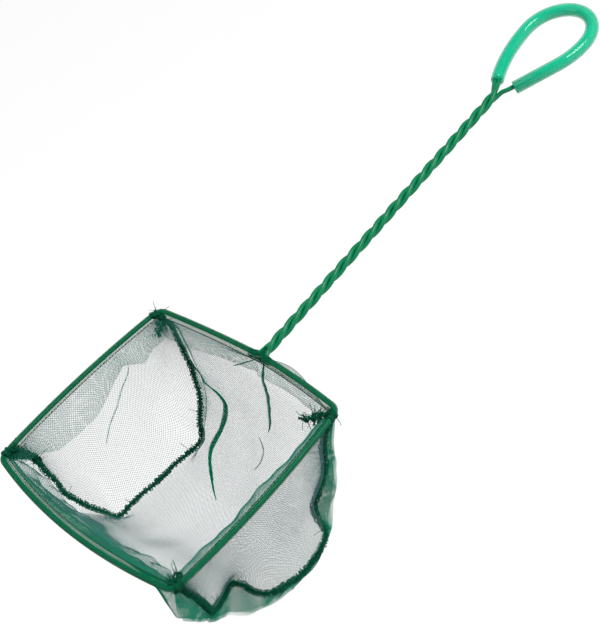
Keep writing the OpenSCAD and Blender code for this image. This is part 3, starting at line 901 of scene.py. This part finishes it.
def billow(rows, v):
    """How far the net stands out beside a seam, sideways and out of the bag."""
    side = table(v, rows)
    return BILLOW_SIDE * side, table(v, rows, 2) + (1 - BILLOW_SIDE) * side


def ripple(waves, u, v):
    """Sum of a list of waves at places on a cloth."""
    return sum(high * np.sin(across * u + along * v + phase)
               for high, across, along, phase in waves)


EASED = [without_kinks(left_seam), without_kinks(right_seam)]


def main_panel(u, v):
    """Neck wall, floor and far wall of the bag: u from the left seam to the right one."""
    u, v = clipped(u, v)
    across = u * (1 - GATHER_SHARE * np.exp(-u / GATHER))
    share = across[..., None]
    near, far = fall(v, WALL_SHARE)[..., None], fall(1 - v, WALL_SHARE)[..., None]
    left_way, right_way = [follow(v, MARKS, way) for way in EASED]
    p = mix(left_way, right_way, share)
    p = p + near * (neck_rim.at(across) - mix(EASED[0][0], EASED[1][0], share))
    p = p + far * (far_rim.at(across) - mix(EASED[0][-1], EASED[1][-1], share))
    for seam, way, ends, beside in ((left_seam, left_way, EASED[0], u / LEFT_KINK_REACH),
                                    (right_seam, right_way, EASED[1], (1 - u) / RIGHT_KINK_REACH)):
        kinks = (seam.at(v) - way - near * (seam.points[0] - ends[0])
                 - far * (seam.points[-1] - ends[-1]))
        p = p + fall(beside, 1)[..., None] * kinks
    left, right = hill(u / BILLOW_AT), hill((1 - u) / BILLOW_AT)
    wave = np.sin(pi * u) * np.sin(pi * v) * ripple(MAIN_WAVES, u, v)
    side, out = billow(LEFT_BILLOW, v)
    rise = out * left + billow(RIGHT_BILLOW, v)[1] * right + wave
    p = p + out_of_bag(v) * rise[..., None]
    p[..., 0] -= side * left
    free = np.minimum(v / NECK_MARGIN, 1) * np.minimum((1 - u) / RIGHT_MARGIN, 1)
    for u0, v0, wide, long, shift in PUSHES:
        held = bump(u, u0, wide) * bump(v, v0, long) * free
        p = p + held[..., None] * np.array(shift)
    return p


def allowance(seam, rows, phase):
    """Raw edges of the net that stand out past a seam, as a surface."""
    waves = [(*EDGE_SWAY, phase), (*EDGE_RIPPLE, 2 * phase)]

    def surface(b, v):
        b, v = clipped(b, v)
        side, out = billow(rows, v)
        p = seam.at(v) + out_of_bag(v) * (b * (out + ripple(waves, b, v)))[..., None]
        p[..., 0] -= b * side
        return p

    return surface


# Painted shades of the net, greener where it is bunched, for light passed through its layers:
# the most of each and how far it reaches from its edge. The far bar's fades towards the right,
# from a share of the width, over another, down to its least
LEFT_SHADE, RIGHT_SHADE, FAR_SHADE, NECK_SHADE = (0.95, 0.09), (0.3, 0.04), (0.9, 0.36), (0.25, 0.08)
FAR_FADE_FROM, FAR_FADE_REACH, FAR_LEAST = 0.3, 0.5, 0.25
MAIN_MOST = 0.8
SIDE_SHADE = (0.7, 0.12)
# Painted shades of the hem folds and the net bunched at the neck, and of the raw edges past the
# left and the right seam
TIGHT_SHADE, LEFT_EDGE_SHADE, RIGHT_EDGE_SHADE = 1.0, 0.65, 0.6


def main_painted_tone(u, v):
    """Painted light: greener where the net is bunched beside the left seam and along the far bar,
    standing in for light passed through the layers there.
    """
    fade = mix(FAR_LEAST, 1, fall(u - FAR_FADE_FROM, FAR_FADE_REACH))
    return np.clip(LEFT_SHADE[0] * np.exp(-u / LEFT_SHADE[1])
                   + RIGHT_SHADE[0] * np.exp((u - 1) / RIGHT_SHADE[1])
                   + FAR_SHADE[0] * fall(1 - v, FAR_SHADE[1]) * fade
                   + NECK_SHADE[0] * fall(v, NECK_SHADE[1]), 0, MAIN_MOST)


# Side walls: waves beside the seam and in the middle, and how soon they die away at the ends
SEAM_WAVES, MIDDLE_WAVES = [(0.7, 19, 4, 0)], [(0.5, 31, -5, 0)]
SIDE_TAPER = 0.7
RIGHT_BELLY, LEFT_BELLY = 3.0, 3.5


def side_panel(i, seam, u, v, belly):
    """Side wall: u along its bar from the neck, v from its hem down to its seam."""
    u, v = clipped(u, v)
    eased = follow(u, MARKS, EASED[1 if i == 0 else 0])
    p = mix(rim(i, u if i == 0 else 1 - u), eased, v[..., None])
    p = p + fall(1 - v, SIDE_KINK_REACH)[..., None] * (seam.at(u) - eased)
    out = 1 if i == 0 else -1
    free = np.sin(pi * u) ** SIDE_TAPER
    p[..., 0] += out * free * (belly * 4 * v * (1 - v) + v * ripple(SEAM_WAVES, u, v)
                               + np.sin(pi * v) * ripple(MIDDLE_WAVES, u, v))
    return p


def right_panel(u, v):
    return side_panel(0, right_seam, u, v, RIGHT_BELLY)


def left_panel(u, v):
    return side_panel(2, left_seam, u, v, LEFT_BELLY)


# Painted light: the side walls' net greener near the seam, as light passed through layers of net
def side_painted_tone(u, v):
    return SIDE_SHADE[0] * fall(1 - v, SIDE_SHADE[1])


def thin_out(path):
    """Places of the points to keep: close together only where the path turns."""
    step = np.diff(path, axis=0)
    long = np.linalg.norm(step, axis=1)
    way = step / np.maximum(long, 1e-9)[:, None]
    turn = np.arccos(np.clip((way[1:] * way[:-1]).sum(axis=1), -1, 1))
    cost = np.concatenate([[0], long[:-1] / NET_LONG_STEP + turn / NET_TURN_STEP,
                           long[-1:] / NET_LONG_STEP]).cumsum()
    marks = np.linspace(0, cost[-1], max(2, int(np.ceil(cost[-1])) + 1))
    return np.unique(np.searchsorted(cost, marks, "left").clip(0, len(path) - 1))


def net_mesh(surface, width, length, tone, pitch=NET_PITCH, thread=NET_THREAD):
    """Two slanted families of threads, laid over a cloth of width by length that surface
    maps into space; each thread is an open three-sided tube. tone gives its painted shade,
    the green of light passed through bunched layers."""
    parts = []
    gap = pitch * sqrt(2)
    e = NET_NUDGE
    for way in (1, -1):
        low, high = (-length, width) if way == 1 else (0, width + length)
        for c in np.arange(low + gap / 2, high, gap):
            y0, y1 = ((max(0, -c), min(length, width - c)) if way == 1
                      else (max(0, c - width), min(length, c)))
            if y1 - y0 < NET_FINE_STEP:
                continue
            y = np.linspace(y0, y1, max(4, int((y1 - y0) * sqrt(2) / NET_FINE_STEP) + 1))
            u, v = np.clip((c + way * y) / width, 0, 1), np.clip(y / length, 0, 1)
            path = surface(u, v)
            keep = thin_out(path)
            if len(keep) < 2:
                continue
            u, v, path = u[keep], v[keep], path[keep]
            du = surface(u + e, v) - surface(u - e, v)
            dv = surface(u, v + e) - surface(u, v - e)
            tube = tube_mesh(path, thread / sqrt(3), 3, up=unit(np.cross(du, dv)),
                             closed_ends=False)
            shade = np.broadcast_to(tone(u, v) if callable(tone) else tone, u.shape)
            parts.append((*tube, np.repeat(shade, 3)))
    return join_meshes(parts)


def make_net(name, parts, flat, node, area):
    """One piece of net from its meshes. flat and area, the size of its cut cloth, are not used."""
    verts, faces, tone = join_meshes(parts)
    ob = paint(add_mesh(name, hoop_place(verts), faces, tone), NET)
    hand_in(ob, node)
    flat[0] * MM
    flat[1] * MM
    area * MM * MM


# Pinched folds: thread, half the gap at the foot, how soon a fold dies away at its ends, the
# points at which its length is measured, the height and pace of its waves, and the share
# of its length over which its way is taken
TUCK_THREAD, TUCK_GAP, TUCK_TAPER, TUCK_POINTS = 0.13, 0.35, 0.6, 80
TUCK_WAVE, TUCK_PACE, TUCK_NUDGE = 0.12, 40, 0.02


def tuck_mesh(surface, way, height, lean, shade, pitch):
    """A narrow pinched fold of net that stands on a panel along a way of (u, v) places."""
    line = Course([(*p, 0) for p in way])

    def stem(a):
        spot = line.at(a)
        return surface(spot[..., 0], spot[..., 1])

    def fold(b, a):
        b, a = clipped(b, a)
        along = unit(stem(np.minimum(a + TUCK_NUDGE, 1)) - stem(np.maximum(a - TUCK_NUDGE, 0)))
        side = unit(np.cross(along, lean))
        size = np.sin(pi * a) ** TUCK_TAPER
        across = 2 * b - 1
        rise = (1 - np.abs(across)) * height * size * (1 + TUCK_WAVE * np.sin(TUCK_PACE * a))
        return stem(a) + side * (across * TUCK_GAP * size)[..., None] + rise[..., None] * unit(lean)

    long = np.linalg.norm(np.diff(stem(np.linspace(0, 1, TUCK_POINTS)), axis=0), axis=1).sum()
    return net_mesh(fold, 2 * height, long, shade, pitch, TUCK_THREAD)


# Folds pinched in the panels: (u, v) places, height, the way they stand, their painted shade,
# green and light as light through the fold's packed layers, and the distance of their threads
TO_NECK, THIN = (-0.95, 0.05, 0.3), (-0.8, 0.15, 0.6)
MAIN_TUCKS = [
    ([(0.995, 0.12), (0.983, 0.177), (0.93, 0.2), (0.82, 0.2), (0.745, 0.208), (0.735, 0.228),
      (0.775, 0.285), (0.825, 0.35), (0.785, 0.403), (0.715, 0.448), (0.66, 0.468)],
     5.5, TO_NECK, 0.8, 0.34),
    ([(0.454, 0.03), (0.433, 0.068), (0.4, 0.105), (0.385, 0.15), (0.383, 0.185), (0.395, 0.205)],
     3.4, TO_NECK, 0.8, 0.42),
    ([(0.6, 0.08), (0.533, 0.055), (0.462, 0.033)], 2.0, (-0.6, 0.3, 0.75), 0.5, 0.5),
    ([(0.462, 0.23), (0.425, 0.255), (0.44, 0.29), (0.475, 0.32)], 1.4, THIN, 0.35, 0.7),
]
RIGHT_TUCKS = [([(0.3, 0.2), (0.33, 0.245), (0.396, 0.278), (0.467, 0.35), (0.521, 0.422),
                 (0.57, 0.52)], 3.0, (-0.85, 0.25, 0.4), 0.7, 1.4)]
# Cut cloth of the panels: its width and length, and its area with the corners cut away
MAIN_FLAT, RIGHT_FLAT, LEFT_FLAT = (140.0, 246.0), (112.0, 66.0), (112.0, 60.0)
MAIN_AREA, RIGHT_AREA, LEFT_AREA = 31000.0, 6300.0, 5400.0
# Raw edges past the seams: width, and phases of their waves
LEFT_EDGE, LEFT_PHASES, RIGHT_EDGE, RIGHT_PHASE = 10.0, (0.0, 3.0), 5.0, 1.0


def make_panels():
    """The three cut pieces, with their pinched folds and raw edges."""
    parts = [net_mesh(main_panel, *MAIN_FLAT, main_painted_tone)]
    parts += [tuck_mesh(main_panel, *tuck) for tuck in MAIN_TUCKS]
    for phase in LEFT_PHASES:
        parts.append(net_mesh(allowance(left_seam, LEFT_BILLOW, phase), LEFT_EDGE,
                              left_seam.length, LEFT_EDGE_SHADE, EDGE_PITCH, EDGE_THREAD))
    make_net("net_main_panel", parts, MAIN_FLAT, "main_panel", MAIN_AREA)
    parts = [net_mesh(right_panel, *RIGHT_FLAT, side_painted_tone)]
    parts += [tuck_mesh(right_panel, *tuck) for tuck in RIGHT_TUCKS]
    parts.append(net_mesh(allowance(right_seam, RIGHT_BILLOW, RIGHT_PHASE), RIGHT_EDGE,
                          right_seam.length, RIGHT_EDGE_SHADE, EDGE_PITCH, EDGE_THREAD))
    make_net("net_right_gusset", parts, RIGHT_FLAT, "gusset_right", RIGHT_AREA)
    parts = [net_mesh(left_panel, *LEFT_FLAT, side_painted_tone)]
    make_net("net_left_gusset", parts, LEFT_FLAT, "gusset_left", LEFT_AREA)


make_panels()


# Threads. Overlock: radius of the looped thread, and the way that it takes to go round once
# on a seam and on a tie; least size and spread of the core and of the loops, as shares of
# the seam's; points of a loop for each of the core, and those that its size holds for
LOOP_THREAD_R, SEAM_LOOP_STEP, TIE_LOOP_STEP = 0.24, 1.6, 1.0
CORE_LEAST, CORE_SPREAD, LOOP_LEAST, LOOP_SPREAD = 0.42, 0.3, 0.85, 0.45
LOOP_FINE, LOOP_HOLD = 4, 12
# Loose thread ends: radius, points, sag and curl as shares of the length
FRAY_R, FRAY_POINTS, FRAY_SAG, FRAY_CURL = 0.15, 9, 0.35, 0.25
# A direction that no seam or tie runs along
ASKEW = (0.3, 0.2, 1)


def side_ways(path):
    """Two directions square to a path at each of its points."""
    way = unit(np.gradient(path, axis=0))
    side = unit(np.cross(way, ASKEW))
    return side, np.cross(side, way)


def ragged(rng, count, size):
    """Smoothed random shifts, one for each point."""
    shift = rng.normal(0, size, (count, 3))
    shift[0] = shift[-1] = 0
    for _ in range(2):
        shift[1:-1] = (shift[:-2] + shift[1:-1] + shift[2:]) / 3
    return shift


def overlock(path, radius, rng, loop_step):
    """A lumpy core with thread looped round it both ways."""
    count = len(path)
    step = np.linalg.norm(np.diff(path, axis=0), axis=1).mean()
    parts = [tube_mesh(path, radius * (CORE_LEAST + CORE_SPREAD * rng.random(count)), sides=6)]
    side, up = side_ways(path)
    fine = np.linspace(0, count - 1, count * LOOP_FINE)
    k = fine.astype(int)
    base = np.stack([np.interp(fine, np.arange(count), path[:, j]) for j in range(3)], -1)
    size = np.interp(fine, np.arange(count), radius)
    for start, turn in ((0, 1), (2, -1)):
        a = start + turn * fine * step / loop_step * tau
        rough = rng.random(len(fine) // LOOP_HOLD + 1).repeat(LOOP_HOLD)[:len(fine)]
        r = size * (LOOP_LEAST + LOOP_SPREAD * rough)
        loop = base + (side[k] * np.cos(a)[:, None] + up[k] * np.sin(a)[:, None]) * r[:, None]
        parts.append(tube_mesh(loop, LOOP_THREAD_R, sides=4))
    return parts


def fray(root, way, length, rng):
    """A loose thread end that curls away from its root."""
    t = np.linspace(0, 1, FRAY_POINTS)[:, None]
    curl = unit(rng.normal(0, 1, 3))
    sag = unit(np.cross(way, curl))
    path = (root + unit(way) * length * t + sag * length * FRAY_SAG * t * t
            + curl * length * FRAY_CURL * t**3)
    return tube_mesh(path, FRAY_R, sides=4)


def hand_in_thread(name, parts, material, node):
    """A piece of sewing thread from its meshes, in the hoop's frame."""
    verts, faces = join_meshes(parts)
    hand_in(paint(add_mesh(name, hoop_place(verts), faces), material), node)


# Hems: name, bar, node, distance of the threads round the wire, fall of the loose edges below
# the level in degrees, and for each loose edge its painted shade, for light passed through its
# layers, the distance of its threads and its width at shares of the bar's length
HEMS = [
    ("hem_right", 0, "casing_right", 0.62, 62, [
        (0.35, 1.0, [(0, 6), (0.07, 11), (0.135, 11), (0.21, 14), (0.3, 7), (0.37, 10), (0.51, 17),
                     (0.58, 18), (0.73, 17), (0.8, 16), (0.88, 10), (1, 6)])]),
    ("hem_far", 1, "casing_far", 0.45, 55, [
        (0.9, 0.6, [(0, 2), (0.15, 2.5), (0.3, 5.5), (0.6, 9), (0.85, 8.5), (1, 4)]),
        (0.15, 1.2, [(0, 8), (0.1, 13), (0.3, 15.5), (0.6, 17), (0.85, 18), (1, 8)])]),
    ("hem_left", 2, "casing_left", 0.62, 30, [
        (0.4, 0.62, [(0, 5), (0.1, 10), (0.5, 11), (0.8, 9), (0.9, 6), (1, 4)])]),
    ("hem_neck_left", 3, "casing_neck_left", 0.62, 58, [
        (0.45, 1.0, [(0, 6), (0.2, 6), (0.6, 5.5), (1, 7)])]),
    ("hem_neck_right", 4, "casing_neck_right", 0.62, 55, [
        (0.35, 1.05, [(0, 5), (0.3, 7), (0.7, 10), (0.9, 11), (1, 6)])]),
]


# Threads round the wire and in the loose edges, and points at which an edge's width is taken
WRAP_THREAD, FLAP_THREAD, FLAP_POINTS = 0.12, 0.15, 50
# Half the gap between a fold's two layers at the stitches, and the gap to the loose edge
FOLD_GAP, FLAP_GAP = 0.2, 0.3
# Loose edges: share of the fall that they start with, and two waves of it, in radians, with
# the length of each over a turn
FLAP_START, FLAP_SWAY, FLAP_RIPPLE = 0.6, (0.07, 7.0), (0.03, 2.1)


def wrap_surface(i):
    """Net folded tight round bar i, from the stitch line over the wire and back, and its
    width."""
    lead = hypot(HEM_IN, HEM_DROP)
    wide = 2 * lead + pi * FOLD_R
    tilt = atan2(HEM_DROP, HEM_IN)

    def surface(t, v):
        t, v = clipped(t, v)
        turn = mix(pi / 2 - tilt, 3 * pi / 2 - tilt,
                   np.clip((v * wide - lead) / (wide - 2 * lead), 0, 1))
        lie = np.minimum(v, 1 - v) * wide / lead
        top = v < 0.5
        inward = mix(HEM_IN + FOLD_GAP, FOLD_R * np.cos(turn), np.clip(lie, 0, 1))
        z = mix(np.where(top, FOLD_GAP, -FOLD_GAP) - HEM_DROP, FOLD_R * np.sin(turn),
                np.clip(lie, 0, 1))
        return run(i, t) + run_inward(i, t) * inward[..., None] + upright(z)

    return surface, wide


def flap_surface(i, slope, widths):
    """Loose raw edge of bar i's hem, inside the bag."""
    def surface(t, v):
        t, v = clipped(t, v)
        wide = v * table(t, widths)
        s = t * run_length(i)
        drop = (radians(slope) * mix(FLAP_START, 1, v)
                + FLAP_SWAY[0] * np.sin(s / FLAP_SWAY[1] + i)
                + FLAP_RIPPLE[0] * np.sin(s / FLAP_RIPPLE[1]))
        inward = HEM_IN + FLAP_GAP + wide * np.cos(drop)
        z = -HEM_DROP - FLAP_GAP - wide * np.sin(drop)
        return run(i, t) + run_inward(i, t) * inward[..., None] + upright(z)

    return surface


def from_handle(points):
    """Points of the handle's frame, in the hoop's."""
    return handle_place(points) / MM - HOOP_PLACE


# Net bunched at the neck: distance and thickness of its threads, and the cloth that it adds
# to its hem; how far a web stands out of the wires' plane, the share of it at its edges and
# its waves; how far the sleeve reaches to the right and left, its gap and swell over the
# folds, how soon the swell dies away at its ends, and its waves
GATHER_PITCH, GATHER_THREAD, NECK_SPARE = 0.46, 0.15, 5.0
WEB_OUT, WEB_EDGE, WEB_WAVES, WEB_POINTS = 1.5, 0.6, [(0.12, 25, 9, 0)], 30
NECK_SLEEVE_REACH, NECK_SLEEVE_GAP, NECK_SLEEVE_SWELL = (9.0, 7.5), 0.1, 0.55
NECK_SLEEVE_TAPER, NECK_SLEEVE_WAVES = 0.7, [(0.07, 9, 3, 0), (0.06, 23, 2, 0)]


def neck_sleeve(t, v):
    """Net bunched round both wires where they leave the bars for the handle."""
    t, v = np.broadcast_arrays(t, v)
    reach = mix(-NECK_SLEEVE_REACH[1], NECK_SLEEVE_REACH[0], t)
    x, y = CORNERS[4]
    rise = np.abs(reach) / (HOOP_NECK_W / 2 - NECK_OFFSET) * NECK_PEAK
    a = tau * v
    swell = NECK_SLEEVE_SWELL * np.sin(pi * np.clip(t, 0, 1)) ** NECK_SLEEVE_TAPER
    r = FOLD_R + NECK_SLEEVE_GAP + swell
    r = r * (1 + ripple(NECK_SLEEVE_WAVES, t, a))
    return np.stack([x + reach, y + rise + r * np.cos(a), r * np.sin(a)], -1)


def neck_web(face):
    """Net stretched between the two wires above or below the bend, up to the twist."""
    right, left = neck_bend(4, RIGHT_START, WEB_POINTS), neck_bend(3, LEFT_START, WEB_POINTS)
    marks = np.linspace(0, 1, WEB_POINTS)

    def surface(t, v):
        t, v = clipped(t, v)
        p = from_handle(mix(follow(v, marks, right), follow(v, marks, left), t[..., None]))
        out = mix(WEB_EDGE, 1, np.sin(pi * t)) + ripple(WEB_WAVES, t, v)
        p[..., 2] += face * WEB_OUT * out
        return p

    return surface


def neck_gather():
    """The net bunched at the neck: a sleeve round the wires and a web on each face."""
    pieces = [(neck_sleeve, sum(NECK_SLEEVE_REACH), tau * (FOLD_R + NECK_SLEEVE_SWELL)),
              (neck_web(1), 2 * NECK_BEND, NECK_BEND), (neck_web(-1), 2 * NECK_BEND, NECK_BEND)]
    return [net_mesh(*piece, TIGHT_SHADE, GATHER_PITCH, GATHER_THREAD) for piece in pieces]


def make_hems():
    """Each hem: the fold round its bar, its loose edges and, on the left of the neck, the
    net bunched there."""
    for name, i, node, wrap_pitch, slope, flaps in HEMS:
        wrap, wide = wrap_surface(i)
        long = run_length(i)
        parts = [net_mesh(wrap, long, wide, TIGHT_SHADE, wrap_pitch, WRAP_THREAD)]
        loose = 0
        for shade, pitch, widths in flaps:
            flap = table(np.linspace(0, 1, FLAP_POINTS), widths)
            parts.append(net_mesh(flap_surface(i, slope, widths), long, flap.max(), shade, pitch,
                                  FLAP_THREAD))
            loose += flap.mean()
        if i == 3:
            parts += neck_gather()
            loose += NECK_SPARE
        make_net(name, parts, (long, wide + loose), node, long * (wide + loose))


make_hems()


# Stitches: distance, shares of it at which the thread is bent, and its height there
STITCH_PITCH, STITCH_SHARES, STITCH_HEIGHTS = 2.2, np.array([0.1, 0.5, 0.9]), [0.3, 0.55, 0.3]


def make_stitching():
    """Lockstitch along each hem: a short thread on top for each stitch."""
    parts = []
    for i in range(5):
        count = int(run_length(i) / STITCH_PITCH)
        for k in range(count):
            p = rim(i, (k + STITCH_SHARES) / count)
            p[:, 2] += STITCH_HEIGHTS
            parts.append(tube_mesh(p, THREAD_D / 2, sides=5))
    hand_in_thread("hem_stitches", parts, STITCH, "hem_stitching")


make_stitching()


# Overlocked seams: distance of the core's points, how far they stray, number of loose ends,
# points at the seam's ends without them, their least length and its spread
SEAM_STEP, SEAM_STRAY = 0.5, 0.36
SEAM_FRAYS, SEAM_FRAY_MARGIN, SEAM_FRAY_LEAST, SEAM_FRAY_SPREAD = 30, 20, 2.5, 4


def make_seam(name, course, girth, node, seed):
    rng = np.random.default_rng(seed)
    count = int(course.length / SEAM_STEP)
    path = course.at(np.linspace(0, 1, count)) + ragged(rng, count, SEAM_STRAY)
    parts = overlock(path, np.full(count, girth / 2), rng, SEAM_LOOP_STEP)
    for k in rng.integers(SEAM_FRAY_MARGIN, count - SEAM_FRAY_MARGIN, SEAM_FRAYS):
        way = rng.normal(0, 1, 3)
        parts.append(fray(path[k], way, SEAM_FRAY_LEAST + SEAM_FRAY_SPREAD * rng.random(), rng))
    hand_in_thread(name, parts, OVERLOCK, node)


make_seam("overlock_right", right_seam, RIGHT_SEAM_D, "seam_right", 3)
make_seam("overlock_left", left_seam, LEFT_SEAM_D, "seam_left", 5)


# Corner ties: turns of thread, points of each, the thread's radius, half the length along
# the bar and the gap to the wire, then the waves of that gap and of the way along the bar
TIE_TURNS, TIE_POINTS, TIE_THREAD_R, TIE_HALF, TIE_GAP = 7, 16, 0.36, 2.0, 0.5
TIE_GAP_WAVES, TIE_SWAY, TIE_SWAY_PACE = [(0.15, 0.37, 0, 0), (0.12, 0.9, 0, 0)], 0.5, 0.21
# Gathered cloth in a tie: strands, distance of their points, how far they stray and how much
# they taper; then the least and the spread of a strand's girth, the share of the first
# strand, and how much less each next one has
LUMP_STRANDS, LUMP_STEP, LUMP_STRAY, LUMP_TAPER = 3, 0.35, 2.56, 0.45
LUMP_LEAST, LUMP_SPREAD, LUMP_FIRST, LUMP_THINNER = 0.75, 0.4, 0.9, 0.15
# Cut tails: least length, its spread, and how much they turn upwards
TAIL_LEAST, TAIL_SPREAD, TAIL_LIFT = 2, 5, [0, 0, 0.3]


def make_tie(name, i, place, lump, size, frays, node, seed):
    """Thread wound round the bar beside a corner, with the gathered cloth that it holds as
    a lump along a list of points, and cut tails."""
    rng = np.random.default_rng(seed)
    p, inward = run(i, place), run_inward(i, place)
    along = np.cross((0, 0, 1), inward)
    a = np.linspace(0, tau * TIE_TURNS, TIE_TURNS * TIE_POINTS)
    r = WIRE_D / 2 + TIE_GAP + ripple(TIE_GAP_WAVES, a, 0)
    spread = np.linspace(-TIE_HALF, TIE_HALF, len(a)) + TIE_SWAY * np.sin(a * TIE_SWAY_PACE)
    coil = p + inward * (r * np.cos(a))[:, None] + upright(r * np.sin(a)) + along * spread[:, None]
    parts = [tube_mesh(coil, TIE_THREAD_R, sides=5)]
    course = Course([p + inward, *lump])
    count = int(course.length / LUMP_STEP)
    share = np.linspace(0, 1, count)
    for strand in range(LUMP_STRANDS):
        path = course.at(share) + ragged(rng, count, LUMP_STRAY)
        rough = LUMP_LEAST + LUMP_SPREAD * rng.random(count)
        girth = size * (1 - LUMP_TAPER * share) * rough * (LUMP_FIRST - LUMP_THINNER * strand)
        parts += overlock(path, girth, rng, TIE_LOOP_STEP)
    for k in rng.integers(1, count, frays):
        way = rng.normal(0, 1, 3) + TAIL_LIFT
        parts.append(fray(path[k], way, TAIL_LEAST + TAIL_SPREAD * rng.random(), rng))
    hand_in_thread(name, parts, OVERLOCK, node)


# Ties: name, bar, share of its run, points and half width of the lump, tails, node, seed
TIES = [
    ("tie_at_neck_right", 0, 0.03, [(70, 3, -3), (69.5, 6, -6), (69, 9, -9)], 1.4, 34,
     "tie_neck_right", 1),
    ("tie_at_far_right", 0, 0.975, [(74.5, 105, -3), (74, 103.4, -7.2), (73, 101.7, -12),
                                    (71.5, 101.3, -19)], 1.6, 44, "tie_far_right", 2),
    ("tie_at_far_left", 2, 0.03, [(-74, 112, -1), (-71.5, 109, -1.2), (-69.5, 106.5, -1.5)], 1.1, 56,
     "tie_far_left", 3),
    ("tie_at_neck_left", 2, 0.97, [(-69, 4, -1.5), (-64, 7, -2), (-60, 10, -2.5), (-58.5, 11, -4)],
     0.85, 80, "tie_neck_left", 4),
]
for tie in TIES:
    make_tie(*tie)

# Steel that shows at the cut ends keeps its CAD shape
for node in ("hoop_core", "strand_cores", "loop_core"):
    paint(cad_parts[node], STEEL, False)
